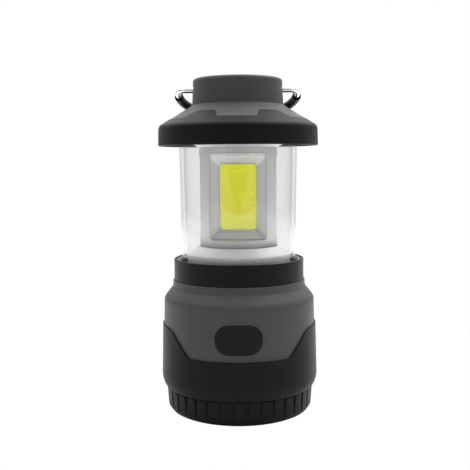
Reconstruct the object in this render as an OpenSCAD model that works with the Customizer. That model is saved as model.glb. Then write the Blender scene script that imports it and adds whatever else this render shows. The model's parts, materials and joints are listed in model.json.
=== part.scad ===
// Camping lantern: three round cells in the base, a screw cap underneath, a clear globe
// round a silver post with three light panels, and a wire bail hinged in the head's neck.
// Millimetres. The origin is on the table under the middle of the cap, +Z up, front at -Y.

/* [Base] */
// Radius of the grey wall of the base
wall_r = 45.9; // [45.5:0.1:46.2]
// Thickness of the wall of the base
wall_t = 2.5; // [2.2:0.1:2.7]
// Height of the screw cap
cap_h = 15; // [14.8:0.1:15.2]
// Height of the top of the base shell
base_h = 79.6; // [79.5:0.1:80.4]
// Height of the top edge of the rubber sleeve
sleeve_top = 53.4; // [52:0.2:55]
// Height of the lower edge of the window in the sleeve
window_low = 38.2; // [36:0.2:39]
// How far the sleeve stands out past the grey wall at its widest
sleeve_t = 1.5; // [1.2:0.1:1.8]
// Number of grip grooves round the cap
grooves = 36; // [24:2:40]

/* [Thread] */
// Rise of the cap's thread in one turn
thread_lead = 4; // [3.8:0.1:4.2]
// Number of turns of thread
thread_turns = 1.5; // [1:0.25:1.5]

/* [Cells] */
// Diameter of a cell
cell_d = 34.2; // [33:0.1:34.2]
// Length of a cell over its nub
cell_l = 61.5; // [61:0.1:61.5]
// Distance of the cells' axes from the middle
cell_ring = 20.4; // [20.4:0.05:20.5]

/* [Button] */
// Width of the power button
button_w = 26.4; // [24:0.2:27]
// Height of the power button
button_h = 16.4; // [15:0.2:16.8]
// Height of the middle of the power button
button_z = 50.9; // [50.5:0.1:51.5]
// How far the button goes in
button_travel = 1; // [0.6:0.1:1]

/* [Collar and globe] */
// Radius of the black collar
collar_r = 39.3; // [39.2:0.1:39.8]
// Height of the collar above the base shell
collar_h = 12.7; // [12.6:0.1:13.4]
// Height of the underside of the brim
brim_z = 159.8; // [159.6:0.1:160.4]
// Outer radius of the globe at its foot
globe_r = 34.2; // [34.1:0.1:34.3]
// How much wider the globe is at its top, as a radius
globe_flare = 1.3; // [1.1:0.1:1.4]
// Thickness of the globe's wall
globe_t = 2.5; // [2:0.1:2.6]

/* [Light] */
// Radius of the silver post
post_r = 23.4; // [23.3:0.1:23.8]
// Width of a window in the post
window_w = 33.4; // [32:0.2:33.6]
// Height of a window in the post
window_h = 50.4; // [48:0.2:51]
// Width of the lit panel
panel_w = 21; // [18:0.5:21]
// Height of the lit panel
panel_h = 38; // [34:0.5:38.5]

/* [Head] */
// Radius of the brim at its lower edge
brim_r = 48; // [47.8:0.1:48.4]
// Height of the foot of the neck
cone_top = 184; // [183.8:0.1:184.2]
// Slope of the cone, in degrees
cone_slope = 31.6; // [31:0.1:32]
// Radius of the foot of the neck
neck_r = 27.2; // [27:0.1:27.4]
// Height of the top of the head
total_h = 200; // [199.5:0.1:201]
// Radius that the rubber brim reaches inwards on the cone
brim_edge_r = 40.8; // [40:0.1:41.2]
// Radius that the rubber tabs reach inwards on the cone
tab_edge_r = 34.5; // [33:0.1:36]

/* [Handle] */
// Diameter of the bail wire
wire_d = 3.4; // [3:0.1:3.4]
// Diameter of the rubber grip on the bail
grip_d = 5.4; // [4.8:0.1:5.4]
// Radius of the bail's round end
bail_r = 36; // [35.5:0.1:36.5]
// Distance from the hinge to the centre of the bail's round end
bail_leg = 7; // [6.6:0.1:7]
// Height of the bail's hinge
hinge_z = 193; // [192.8:0.1:193.4]
// How far below level the folded bail lies, in degrees
bail_rest = 18.3; // [17.5:0.1:18.3]

/* [Hidden] */
$fn = 72;

gap = 0.3;          // space left between pieces that move past each other
pin_play = 0.08;    // radial play of a pin in its hole
press = 0.05;       // play of a part that is pressed or screwed in place
cut = 1;            // how far a cutting shape runs past the face it cuts

// Colours
grey = "#5c5c60";
black = "#232325";
rubber = "#2a2a2c";
silver = "#c4c6c8";
steel = "#9a9da0";
board_green = "#2f6b46";

// Battery cap and contact plate, from the table up
foot_recess = 0.8;
cap_floor = 2.4;
cap_wall_r = 42.1;
cap_r = wall_r - 1.1;
groove_w = 1.1;
groove_depth = 1;
groove_low = 4.4;
rivet_boss_r = 3;
plate_r = 37;
plate_low = cap_floor + 0.6;
plate_top = plate_low + 2;
strip_t = 0.3;
cell_low = 11;
cell_top = cell_low + cell_l;
nub_r = 4.75;
nub_h = 1.6;
key_ring = 30.5;
key_r = 2.2;
key_top = 24;

// Spigot and its thread
spigot_in = 39.3;
spigot_r = 40.6;
spigot_low = 5;
thread_h = 1.1;
thread_low = 6.6;
seal_z = 14.2;
seal_r = 0.6;

// Base shell
shell_low = cap_h + gap;
inner_r = wall_r - wall_t;
shoulder_z = 67;
shoulder_arc = 5.6;
shoulder_angle = 38.3;
throat_r = 40;
rim_in = 37.6;
lug_ring = 34;
lug_low = base_h - 2.4;

// Cradle for the cells
cradle_r = spigot_in - 0.2;
cradle_low = 8.5;
cradle_top = 70.5;
pocket_r = cell_d / 2 + 0.4;
column_r = 3.6;
contact_t = 0.4;
contact_board_z = cell_top + contact_t;
board_t = 1.4;

// Button and switch, from the front inwards
button_face_r = 46.9;
button_gap = 0.35;
button_flange = 1.2;
stem_end = 39.5;
switch_face = 38;
switch_back = 34.5;
plunger_r = 1.7;
plunger_end = 37.2;

// Collar
collar_top = base_h + collar_h;
deck_low = base_h + 2.4;
deck_top = deck_low + 2.3;
seat_r = 36;
ring_floor = 88;
ring_r = 37.6;
lip_r = ring_r + 0.25;
circuit_z = base_h - 2.2;
circuit_r = 29;
circuit_screw_ring = 24;

// Globe and reflectors
globe_low = deck_top + 2;
globe_top = brim_z + 3.5;
reflector_flange_z = 95.5;
reflector_cone_r = 28.9;
post_low = 97.6;
post_top = brim_z + 0.7;
post_wall = 1.5;
panel_z = 129.6;
panel_depth = 13.65;
frame_depth = sqrt(pow(post_r, 2) - pow(window_w / 2, 2));
frame_corner = 2.3;
sink_flat = 11.4;
sink_r = 19;
sink_screw_ring = 14.5;
sink_top = brim_z + 5.6;

// Head
ceiling_z = brim_z + 2;
plate_z = brim_z + 5.7;
skirt_in = 45;
skirt_r = 46.1;
brim_screw_ring = 41.3;
layer_t = 1.2;
step_h = 0.15;
shoulder_in = 1.9;
head_wall = 3.2;
neck_wall = 2.6;
neck_top_r = neck_r - 0.5;

front_angles = [90, 210, 330];   // between the light panels, and over the cells
side_angles = [30, 150, 270];    // between the cells

// ---- Helpers ----

function polar(r, a) = [r * cos(a), r * sin(a)];

function arc_points(centre, r, from, to, steps = 10) =
    [for (i = [0:steps]) centre + polar(r, from + (to - from) * i / steps)];

// Height of the cone's surface at a radius
function cone_z(r) = cone_top + (neck_r - r) * tan(cone_slope);

module revolve(points) rotate_extrude() polygon(points);

module ring(outer, inner, low, high)
    revolve([[inner, low], [outer, low], [outer, high], [inner, high]]);

// A box with rounded corners, seen from the front, from one depth to another
module front_pad(w, h, corner, from, to)
    translate([0, -from, 0]) rotate([90, 0, 0]) linear_extrude(to - from)
        union() {
            square([w - 2 * corner, h], center = true);
            square([w, h - 2 * corner], center = true);
            for (x = [-1, 1], y = [-1, 1])
                translate([x * (w / 2 - corner), y * (h / 2 - corner)]) circle(corner);
        }

// A cross-headed screw: the head stands on z = 0, and the shank goes down from there
module screw(head_r, head_h, shank_r, length)
    difference() {
        union() {
            cylinder(r = head_r, h = head_h);
            translate([0, 0, -length]) cylinder(r = shank_r, h = length);
        }
        for (a = [0, 90]) rotate(a)
            translate([-head_r * 0.6, -0.35, head_h - 0.8]) cube([head_r * 1.2, 0.7, cut + 0.8]);
    }

module at_angles(angles, r, z = 0)
    for (a = angles) rotate(a) translate([r, 0, z]) children();

// ---- Thread of the spigot and the cap ----

// A helical ridge in short vented segments: its root lies at root_r and its crest at crest_r
module helix_ridge(root_r, crest_r, low) {
    per_turn = 8;
    arc = 36;
    rise_angle = atan(thread_lead / (2 * PI * crest_r));
    for (i = [0:round(thread_turns * per_turn) - 1]) let (a = (i + 0.5) * 360 / per_turn)
        translate([0, 0, low + thread_lead * a / 360]) rotate(a) rotate([rise_angle, 0, 0])
            rotate(-arc / 2) rotate_extrude(angle = arc)
                polygon([[root_r, -0.9], [crest_r, -0.4], [crest_r, 0.4], [root_r, 0.9]]);
}

// ---- Base ----

// Outline of the grey wall: up the side, over the shoulder and into the throat
shoulder_end = [wall_r - 0.35 - shoulder_arc, shoulder_z] + polar(shoulder_arc, shoulder_angle);
throat_foot = [throat_r + 0.2, shoulder_end[1] + 5.6];
shell_outline = concat(
    [[wall_r - 1.3, shell_low], [wall_r, shell_low + 4.7], [wall_r, sleeve_top + 0.3]],
    arc_points([wall_r - 0.35 - shoulder_arc, shoulder_z], shoulder_arc, 0, shoulder_angle, 8),
    [throat_foot + [0.5, -1.1], throat_foot, [throat_r, base_h]]
);
shell_cavity = [
    [spigot_in, spigot_low], [spigot_in, shell_low + 2.4], [inner_r, shell_low + 5.2],
    [inner_r, shoulder_z - 1.5], [inner_r - 2.2, shoulder_z + 3.5], [rim_in + 1.6, shoulder_z + 6.6],
    [rim_in, shoulder_z + 9], [rim_in, base_h]
];

module button_hole(w, h, from, to)
    translate([0, 0, button_z]) front_pad(w, h, h / 2 - 0.6, from, to);

module base_shell() {
    outer = concat([[spigot_r, spigot_low], [spigot_r, shell_low]], shell_outline);
    reversed_cavity = [for (i = [len(shell_cavity) - 1:-1:0]) shell_cavity[i]];
    color(grey) difference() {
        union() {
            revolve(concat(outer, reversed_cavity));
            intersection() {
                ring(rim_in + 1, 30, lug_low, base_h);
                at_angles(side_angles, lug_ring, lug_low) translate([-5, -5, 0]) cube([12, 10, 6]);
            }
            helix_ridge(spigot_r - 0.6, spigot_r + thread_h, thread_low);
        }
        base_sleeve();
        button_hole(button_w + 2 * button_gap, button_h + 2 * button_gap, inner_r - 6, wall_r + 2);
        at_angles(side_angles, lug_ring, lug_low - cut) cylinder(r = 1.5, h = 6);
    }
}

// The window seen from the front: a flat foot, slanted sides and a flared top
module sleeve_window() {
    low_x = 30.2;
    high_x = 39;
    flare_z = sleeve_top - 1.6;
    r = 2.6;
    right = concat(
        arc_points([low_x - r, window_low + r], r, -90, -30, 5),
        [[high_x, flare_z], [high_x + 1.2, flare_z + 1.1], [high_x + 3.5, sleeve_top - 0.2],
         [high_x + 6, sleeve_top + cut]]
    );
    left = [for (i = [len(right) - 1:-1:0]) [-right[i][0], right[i][1]]];
    for (side = [0, 180]) rotate(side)
        translate([0, -24, 0]) rotate([90, 0, 0]) linear_extrude(30) polygon(concat(right, left));
}

module base_sleeve() {
    widest = wall_r + sleeve_t;
    color(rubber) difference() {
        revolve([
            [wall_r - 1.5, shell_low], [wall_r - 0.7, shell_low], [wall_r + 0.5, shell_low + 2.2],
            [widest - 0.2, shell_low + 4.7], [widest, shell_low + 7.2], [wall_r + 0.75, sleeve_top - 0.5],
            [wall_r + 0.3, sleeve_top], [wall_r - 0.9, sleeve_top], [wall_r - 0.9, shell_low + 6]
        ]);
        sleeve_window();
    }
}

module battery_cap() {
    color(black) difference() {
        union() {
            revolve([
                [0, foot_recess], [29.4, foot_recess], [30, 0], [40.2, 0], [42, 0.9], [43.2, 2.6],
                [43.7, groove_low - 1], [cap_r - 0.15, cap_h - 2], [cap_r, cap_h - 0.4],
                [cap_r - 0.3, cap_h], [cap_wall_r, cap_h], [cap_wall_r, cap_floor], [0, cap_floor]
            ]);
            translate([0, 0, foot_recess + 0.5])
                cylinder(r = rivet_boss_r, h = plate_top + gap - foot_recess - 0.5);
            helix_ridge(cap_wall_r + 0.6, spigot_r + 0.4, thread_low - thread_lead / 2);
        }
        for (i = [0:grooves - 1]) rotate(-84 + i * 360 / grooves)
            translate([cap_r - groove_depth, -groove_w / 2, groove_low])
                cube([groove_depth + cut, groove_w, cap_h]);
        translate([0, 0, plate_low]) cylinder(r = 1.35, h = 6);
    }
}

module cap_seal()
    color(black) rotate_extrude() translate([spigot_r + seal_r + 0.03, seal_z]) circle(seal_r);

module cap_rivet()
    color(steel) translate([0, 0, plate_top + gap + press]) screw(5, 1.2, 1.3, 2);

module contact_plate()
    color(black) difference() {
        union() {
            ring(plate_r, rivet_boss_r + pin_play, plate_low, plate_top);
            at_angles(side_angles, key_ring, plate_low + cut)
                cylinder(r = key_r, h = key_top - plate_low - cut);
        }
        for (a = front_angles) rotate(a) translate([12, -1.5, plate_low - cut]) cube([16, 3, 1.6]);
    }

// Spring steel strips on the plate: one joins two cells, the other goes to the return strip
module plate_strips()
    color(steel) translate([0, 0, plate_top]) {
        at_angles(front_angles, cell_ring) cylinder(r = 10, h = strip_t);
        rotate(150) translate([cell_ring / 2 - 2.5, -cell_ring * 0.5, 0]) cube([6, cell_ring, strip_t]);
        rotate(-4) translate([18, -2, 0]) cube([17.6, 4, strip_t]);
        rotate(-4) translate([35.2, -2, 0]) cube([0.4, 4, 5]);
    }

// A conical coil spring: wide at the plate, narrow under the cell
module cone_spring() {
    turns = 3;
    steps = turns * 20;
    sides = 8;
    wire = 0.5;
    rise = cell_low - plate_top - strip_t - 2 * wire - 0.05;
    points = [for (i = [0:steps], j = [0:sides - 1])
        let (t = i / steps, a = 360 * turns * t, b = 360 * j / sides, r = 8.5 - 4 * t + wire * cos(b))
        [r * cos(a), r * sin(a), wire + rise * t + wire * sin(b)]];
    skin = [for (i = [0:steps - 1], j = [0:sides - 1])
        let (p = sides * i + j, q = sides * i + (j + 1) % sides)
        [p, p + sides, q + sides, q]];
    polyhedron(points, concat(skin, [
        [for (j = [0:sides - 1]) j],
        [for (j = [sides - 1:-1:0]) sides * steps + j]
    ]));
}

module contact_spring(k)
    color(steel) rotate(front_angles[k]) translate([cell_ring, 0, plate_top + strip_t]) cone_spring();

module battery_cradle() {
    web_w = 3;
    color("#3a3a3d") difference() {
        union() {
            translate([0, 0, cradle_low]) cylinder(r = 14, h = cradle_top - cradle_low);
            ring(cradle_r, cradle_r - 1.7, cradle_low, cradle_low + 5.5);
            ring(cradle_r, cradle_r - 1.7, cradle_top - 4.5, cradle_top);
            at_angles(side_angles, 0) translate([4, -web_w / 2, cradle_low + 1])
                cube([cradle_r - 5, web_w, cradle_top - cradle_low - 2]);
            at_angles(side_angles, key_ring, cradle_low + 0.5)
                cylinder(r = column_r, h = contact_board_z - cradle_low - 0.5);
        }
        at_angles(front_angles, cell_ring, -cut) cylinder(r = pocket_r, h = 100);
        at_angles(side_angles, key_ring, cradle_low - cut) cylinder(r = key_r + gap, h = 18.5);
        translate([-11.5, -45, button_z - 11]) cube([23, 12.3, 22]);
        rotate(-4) translate([36.2, -2.4, -cut]) cube([1.5, 4.8, 100]);
    }
}

// A round cell with its nub upwards, and its wrapper's rounded ends
module cell(k, flip) {
    can_h = cell_l - nub_h;
    color(k == 1 ? "#8d9096" : "#85888f") rotate(front_angles[k]) translate([cell_ring, 0, cell_low])
        translate([0, 0, flip ? cell_l : 0]) mirror([0, 0, flip ? 1 : 0])
            revolve([
                [0, 0], [cell_d / 2 - 1, 0], [cell_d / 2, 1], [cell_d / 2, can_h - 1],
                [cell_d / 2 - 1, can_h], [nub_r, can_h], [nub_r, cell_l - 0.4], [nub_r - 0.4, cell_l],
                [0, cell_l]
            ]);
}

module contact_board()
    color(board_green) translate([0, 0, contact_board_z]) cylinder(r = plate_r, h = board_t);

module top_contacts()
    color(steel) translate([0, 0, cell_top]) {
        at_angles(front_angles, cell_ring) cylinder(r = 6, h = contact_t);
        rotate(270) translate([cell_ring / 2 - 3, -cell_ring * 0.8, 0])
            cube([6, cell_ring * 1.6, contact_t]);
    }

module return_strip()
    color(steel) rotate(-4) translate([36.5, -2, 6.5]) cube([0.4, 4, cell_top - 6.5]);

// ---- Switch ----

module power_button()
    color(rubber) union() {
        intersection() {
            button_hole(button_w, button_h, inner_r - 6, wall_r + 3);
            ring(button_face_r, inner_r - gap - 1, button_z - 20, button_z + 20);
        }
        intersection() {
            button_hole(button_w + 2 * button_flange, button_h + 2 * button_flange,
                inner_r - 12, wall_r + 3);
            ring(inner_r - gap, inner_r - gap - 1, button_z - 20, button_z + 20);
        }
        translate([0, -stem_end, button_z]) rotate([90, 0, 0])
            cylinder(r = 3, h = inner_r - gap - 0.5 - stem_end);
    }

module switch_plunger()
    color("#c8bfa8") translate([0, -plunger_end, button_z]) rotate([90, 0, 0])
        cylinder(r = plunger_r, h = stem_end - plunger_end);

module tact_switch()
    color("#303033") difference() {
        translate([-3.1, -switch_face, button_z - 3.1]) cube([6.2, switch_face - switch_back, 6.2]);
        translate([0, -plunger_end + button_travel + 0.2, button_z]) rotate([90, 0, 0])
            cylinder(r = plunger_r + pin_play, h = 6);
    }

module switch_board()
    color(board_green) translate([-10, -switch_back + press, button_z - 9]) cube([20, 1.6, 18]);

// ---- Collar, circuit and globe ----

module neck_collar()
    color(black) difference() {
        union() {
            revolve([
                [8, deck_low], [30.4, deck_low], [30.4, base_h], [collar_r, base_h],
                [collar_r, collar_top - 0.6], [collar_r - 0.2, collar_top - 0.2],
                [collar_r - 0.6, collar_top],
                [lip_r + 0.3, collar_top], [lip_r, collar_top - 0.3], [lip_r, ring_floor],
                [seat_r, ring_floor], [seat_r, deck_top], [8, deck_top]
            ]);
            at_angles(front_angles, circuit_screw_ring, circuit_z + 1.6)
                cylinder(r = 2.6, h = deck_low + 0.5 - circuit_z - 1.6);
        }
        at_angles(side_angles, lug_ring, base_h - cut) cylinder(r = 1.5, h = 5.2);
        at_angles(front_angles, circuit_screw_ring, circuit_z) cylinder(r = 1.1, h = 6);
        at_angles(front_angles, sink_screw_ring, deck_low - cut) cylinder(r = 1.7, h = 6);
    }

module circuit_board()
    color(board_green) difference() {
        translate([0, 0, circuit_z]) cylinder(r = circuit_r, h = 1.6);
        at_angles(front_angles, circuit_screw_ring, circuit_z - cut) cylinder(r = 1.3, h = 4);
    }

module board_components()
    color("#2b2b2e") translate([0, 0, circuit_z + 1.6]) {
        translate([0, -12, 0]) cylinder(r = 5, h = 2.6);
        translate([-18, 4, 0]) cube([7, 5, 1.4]);
        translate([9, 6, 0]) cube([5, 6, 1.7]);
        for (i = [0:4]) translate([-8 + 4 * i, -20.5, 0]) cube([2, 1.2, 0.9]);
    }

module lead(side)
    translate([2.2 * side, 0, circuit_z + 1.6]) cylinder(r = 0.8, h = panel_z - circuit_z);

module globe_seal()
    color(black) ring(seat_r - press, 32, deck_top, globe_low - press);

module globe()
    color("#e8eef0", 0.35) revolve([
        [globe_r - globe_t, globe_low], [seat_r - 0.1, globe_low], [seat_r - 0.1, ring_floor - 0.1],
        [globe_r, ring_floor - 0.1], [globe_r + globe_flare, globe_top],
        [globe_r + globe_flare - globe_t, globe_top]
    ]);

// The grey ring that holds the globe down, with an index notch at the front
module globe_retainer()
    color("#6a6a6e") difference() {
        revolve([
            [35.3, ring_floor], [ring_r, ring_floor], [ring_r, collar_top - 0.6],
            [ring_r - 0.4, collar_top - 0.3], [36, collar_top - 0.9], [35.3, collar_top - 1.8]
        ]);
        translate([-0.9, -ring_r - cut, collar_top - 1.3]) cube([1.8, 4, 2]);
    }

module lower_reflector()
    color(silver) revolve([
        [29.6, deck_top], [31.1, deck_top], [31.1, reflector_flange_z - 1.6],
        [31.3, reflector_flange_z - 1.4], [31.3, reflector_flange_z],
        [reflector_cone_r, reflector_flange_z],
        [post_r + 0.6, reflector_flange_z + 4.3], [post_r + 0.1, reflector_flange_z + 4.3],
        [post_r + 0.1, post_low - 0.1], [post_r - 1.4, post_low - 0.1], [29.6, reflector_flange_z - 1.6]
    ]);

module upper_reflector()
    color(silver) revolve([
        [post_r + 0.1, brim_z - 0.8], [post_r + 0.5, brim_z - 0.8], [31.2, brim_z + 3.8],
        [32.4, brim_z + 4.5], [32.4, brim_z + 5.6], [30.2, brim_z + 5.6], [post_r + 0.1, brim_z + 1.6]
    ]);

// ---- Light post ----

// A four-sided funnel seen from the front: its mouth is w by h at one depth, and it narrows
// to inner_w by inner_h at a lesser depth
module funnel(w, h, depth, inner_w, inner_h, inner_depth) {
    corners = [[-1, -1], [1, -1], [1, 1], [-1, 1]];
    mouth = [for (c = corners) [c[0] * w / 2, -depth, c[1] * h / 2]];
    back = [for (c = corners) [c[0] * inner_w / 2, -inner_depth, c[1] * inner_h / 2]];
    polyhedron(concat(mouth, back),
        [[3, 2, 1, 0], [4, 5, 6, 7], [0, 1, 5, 4], [1, 2, 6, 5], [2, 3, 7, 6], [3, 0, 4, 7]]);
}

module led_post() {
    back_w = panel_w + 0.4;
    back_h = panel_h + 0.4;
    rim = 1.2;
    color(silver) difference() {
        union() {
            ring(post_r, post_r - post_wall, post_low, post_top);
            intersection() {
                cylinder(r = post_r, h = post_top);
                for (a = [0, 120, 240]) rotate(a) translate([0, 0, panel_z]) {
                    front_pad(window_w + 2 * rim, window_h + 2 * rim, 1, frame_depth - 1, post_r + 1);
                    funnel(window_w + rim, window_h + rim, frame_depth - 0.5,
                        back_w + 2 * rim, back_h + 2 * rim, panel_depth - 0.95);
                }
            }
        }
        for (a = [0, 120, 240]) rotate(a) translate([0, 0, panel_z]) {
            front_pad(window_w, window_h, frame_corner, frame_depth, post_r + 3);
            front_pad(back_w, back_h, 1.2, panel_depth - 3, panel_depth + 0.3);
            intersection() {
                front_pad(window_w, window_h, frame_corner, panel_depth - 1, frame_depth + 0.4);
                funnel(window_w + 0.4, window_h + 0.4, frame_depth + 0.2, back_w, back_h, panel_depth + 0.1);
            }
        }
    }
}

module heat_sink() {
    corner = 2 * sink_flat;
    color("#a9acb0") difference() {
        intersection() {
            translate([0, 0, deck_top + press]) linear_extrude(sink_top - deck_top - press)
                polygon([for (a = front_angles) polar(corner, a)]);
            cylinder(r = sink_r, h = total_h);
        }
        cylinder(r = 5, h = total_h);
        at_angles(front_angles, sink_screw_ring) cylinder(r = 1.55, h = total_h);
    }
}

module led_board(k)
    color("#d8d8d4") rotate(k * 120) translate([0, 0, panel_z])
        front_pad(panel_w + 3, panel_h + 4, 0.6, sink_flat + press, sink_flat + 1.25);

module led_phosphor(k)
    color("#d2d04a") rotate(k * 120) translate([0, 0, panel_z])
        front_pad(panel_w, panel_h, 1, sink_flat + 1.26, panel_depth);

// ---- Head ----

module head_seal()
    color(black) ring(seat_r - press, 32.8, globe_top + press, plate_z);

module head_plate()
    color(black) difference() {
        revolve([
            [6, plate_z], [seat_r, plate_z], [seat_r, ceiling_z], [skirt_in - 0.1, ceiling_z],
            [skirt_in - 0.1, ceiling_z + 2], [seat_r + 1.8, ceiling_z + 2], [seat_r + 1.8, plate_z + 2],
            [6, plate_z + 2]
        ]);
        at_angles(front_angles, sink_screw_ring, plate_z - cut) cylinder(r = 1.7, h = 5);
        at_angles(front_angles, brim_screw_ring, ceiling_z - cut) cylinder(r = 1.7, h = 5);
    }

// Seen from above, one tab: a wedge that narrows towards the neck
module tab_outline() {
    outer_r = brim_edge_r + 2;
    polygon(concat(
        arc_points([0, 0], tab_edge_r, 20.8, 40, 6),
        arc_points([0, 0], outer_r, 49.5, 14.4, 10)
    ));
}

// The rubber over the cone's foot, cut back between the tabs
module head_brim() {
    shoulder_r = 3.6;
    turn = 90 - cone_slope;
    arc_x = brim_r - 0.3 - shoulder_r;
    arc_end = arc_x + shoulder_r * cos(turn);
    arc_z = cone_z(arc_end) + step_h - shoulder_r * sin(turn);
    lip_in = tab_edge_r - 1;
    color(rubber) difference() {
        revolve(concat(
            [[skirt_r, brim_z], [brim_r - 0.4, brim_z], [brim_r, brim_z + 0.4]],
            arc_points([arc_x, arc_z], shoulder_r, 0, turn, 8),
            [[lip_in, cone_z(lip_in) + step_h], [lip_in, cone_z(lip_in) - layer_t],
             [skirt_r - shoulder_in, cone_z(skirt_r - shoulder_in) - layer_t], [skirt_r, arc_z + 0.6]]
        ));
        translate([0, 0, brim_z]) linear_extrude(40) difference() {
            circle(brim_edge_r);
            for (a = [0, 180]) rotate(a) for (m = [0, 1]) mirror([m, 0]) rotate(-90) tab_outline();
        }
    }
}

module head_shell() {
    foot_z = brim_z + 0.8;
    edge_r = 24.4;
    grey_z = -step_h;
    color(grey) difference() {
        union() {
            difference() {
                revolve([
                    [0, brim_z], [skirt_r, brim_z], [skirt_r, cone_z(skirt_r) + grey_z - 1],
                    [skirt_r - 1, cone_z(skirt_r - 1) + grey_z], [neck_r + 1, cone_z(neck_r + 1) + grey_z],
                    [neck_r + 0.2, cone_top + 0.1], [neck_r, cone_top + 0.7], [neck_top_r, total_h - 3],
                    [neck_top_r - 0.5, total_h - 1.6], [edge_r, total_h - 0.5],
                    [edge_r - 1.4, total_h - 0.2], [0, total_h]
                ]);
                revolve([
                    [0, brim_z - cut], [skirt_in, brim_z - cut], [skirt_in, brim_z + 8.5],
                    [skirt_in - 2, cone_z(skirt_in - 2) - head_wall],
                    [neck_r - neck_wall, cone_z(neck_r - neck_wall) - head_wall],
                    [neck_r - neck_wall - 0.2, total_h - 2.8], [0, total_h - 2.6]
                ]);
            }
            for (side = [-1, 1]) translate([side * (neck_r - 4.6), 0, hinge_z]) rotate([0, side * 90, 0])
                cylinder(r = 3.6, h = 3);
            at_angles(front_angles, brim_screw_ring, ceiling_z + 2.05)
                cylinder(r = 3.4, h = cone_z(brim_screw_ring) - head_wall + 0.6 - ceiling_z - 2.05);
        }
        head_brim();
        ring(brim_r + 2, 0, brim_z - cut, foot_z);
        translate([-40, 0, hinge_z]) rotate([0, 90, 0]) cylinder(d = wire_d + 2 * pin_play, h = 80);
        at_angles(front_angles, brim_screw_ring, ceiling_z) cylinder(r = 1.5, h = 10);
    }
}

// ---- Screws ----

module collar_screws()
    color(steel) at_angles(side_angles, lug_ring, lug_low) mirror([0, 0, 1]) screw(2.7, 1.6, 1.45, 6.2);

module board_screws()
    color(steel) at_angles(front_angles, circuit_screw_ring, circuit_z)
        mirror([0, 0, 1]) screw(2.2, 1.3, 1.05, 4.6);

module deck_screws()
    color(steel) at_angles(front_angles, sink_screw_ring, deck_low)
        mirror([0, 0, 1]) screw(2.7, 1.6, 1.5, 14);

module spine_screws()
    color(steel) at_angles(front_angles, sink_screw_ring, plate_z + 2) screw(2.7, 1.8, 1.5, 14);

module brim_screws()
    color(steel) at_angles(front_angles, brim_screw_ring, ceiling_z)
        mirror([0, 0, 1]) screw(2.8, 1.6, 1.45, 9);

// ---- Handle ----

// Places the bail, drawn flat with its hinge along X, at its folded rest
module at_bail_rest() translate([0, 0, hinge_z]) rotate([-bail_rest, 0, 0]) children();

module handle_wire() {
    bend_r = 4.5;
    wire_r = wire_d / 2;
    stub_end = bail_r - bend_r;
    stub_in = 21.2;
    color("#c9ccd0") at_bail_rest() union() {
        translate([0, bail_leg, 0]) rotate_extrude(angle = 180) translate([bail_r, 0]) circle(wire_r);
        for (m = [0, 1]) mirror([m, 0, 0]) {
            translate([stub_in, 0, 0]) rotate([0, 90, 0]) cylinder(r = wire_r, h = stub_end - stub_in);
            translate([stub_end, bend_r, 0]) rotate(-90) rotate_extrude(angle = 90)
                translate([bend_r, 0]) circle(wire_r);
            translate([bail_r, bend_r, 0]) rotate([-90, 0, 0]) cylinder(r = wire_r, h = bail_leg - bend_r);
        }
    }
}

module handle_grip() {
    mouth = 4;
    color(rubber) at_bail_rest() translate([0, bail_leg, 0]) rotate(mouth)
        rotate_extrude(angle = 180 - 2 * mouth) translate([bail_r, 0]) difference() {
            circle(d = grip_d);
            circle(d = wire_d + 2 * press);
        }
}

module pivot_washers()
    color(steel) at_bail_rest() for (m = [0, 1]) mirror([m, 0, 0])
        translate([21.5, 0, 0]) rotate([0, 90, 0]) difference() {
            cylinder(r = 3.4, h = 0.7);
            translate([0, 0, -cut]) cylinder(d = wire_d + 2 * press, h = 3);
        }

// ---- Nodes ----

base_shell();
base_sleeve();
battery_cap();
cap_seal();
cap_rivet();
contact_plate();
plate_strips();
contact_spring(0);  // contact_spring_1
contact_spring(1);  // contact_spring_2
contact_spring(2);  // contact_spring_3
battery_cradle();
cell(0, false);  // cell_1
cell(1, true);  // cell_2
cell(2, false);  // cell_3
contact_board();
top_contacts();
return_strip();
circuit_board();
board_components();
color("#b02a25") lead(1);  // led_lead_positive
color("#1d1d1f") lead(-1);  // led_lead_negative
switch_board();
tact_switch();
switch_plunger();
power_button();
neck_collar();
globe_retainer();
globe_seal();
globe();
lower_reflector();
upper_reflector();
led_post();
heat_sink();
led_board(0);  // led_board_1
led_board(1);  // led_board_2
led_board(2);  // led_board_3
led_phosphor(0);  // led_phosphor_1
led_phosphor(1);  // led_phosphor_2
led_phosphor(2);  // led_phosphor_3
head_seal();
head_plate();
head_shell();
head_brim();
collar_screws();
board_screws();
deck_screws();
spine_screws();
brim_screws();
handle_wire();
handle_grip();
pivot_washers();
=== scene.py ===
"""A camping lantern, finished round the nodes of its frame.

The making functions work in millimetres, and Solid.mesh turns a shape's points to metres.
An azimuth is in degrees: 0 is the front (-Y) and 90 the right side (+X).
An outline's point is (radius, height), or (radius, height, rounding) before it is filleted.
"""

import json
import math

import bmesh
import bpy
from bpy.props import FloatProperty, FloatVectorProperty, IntProperty, PointerProperty
from mathutils import Matrix, Vector


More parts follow.
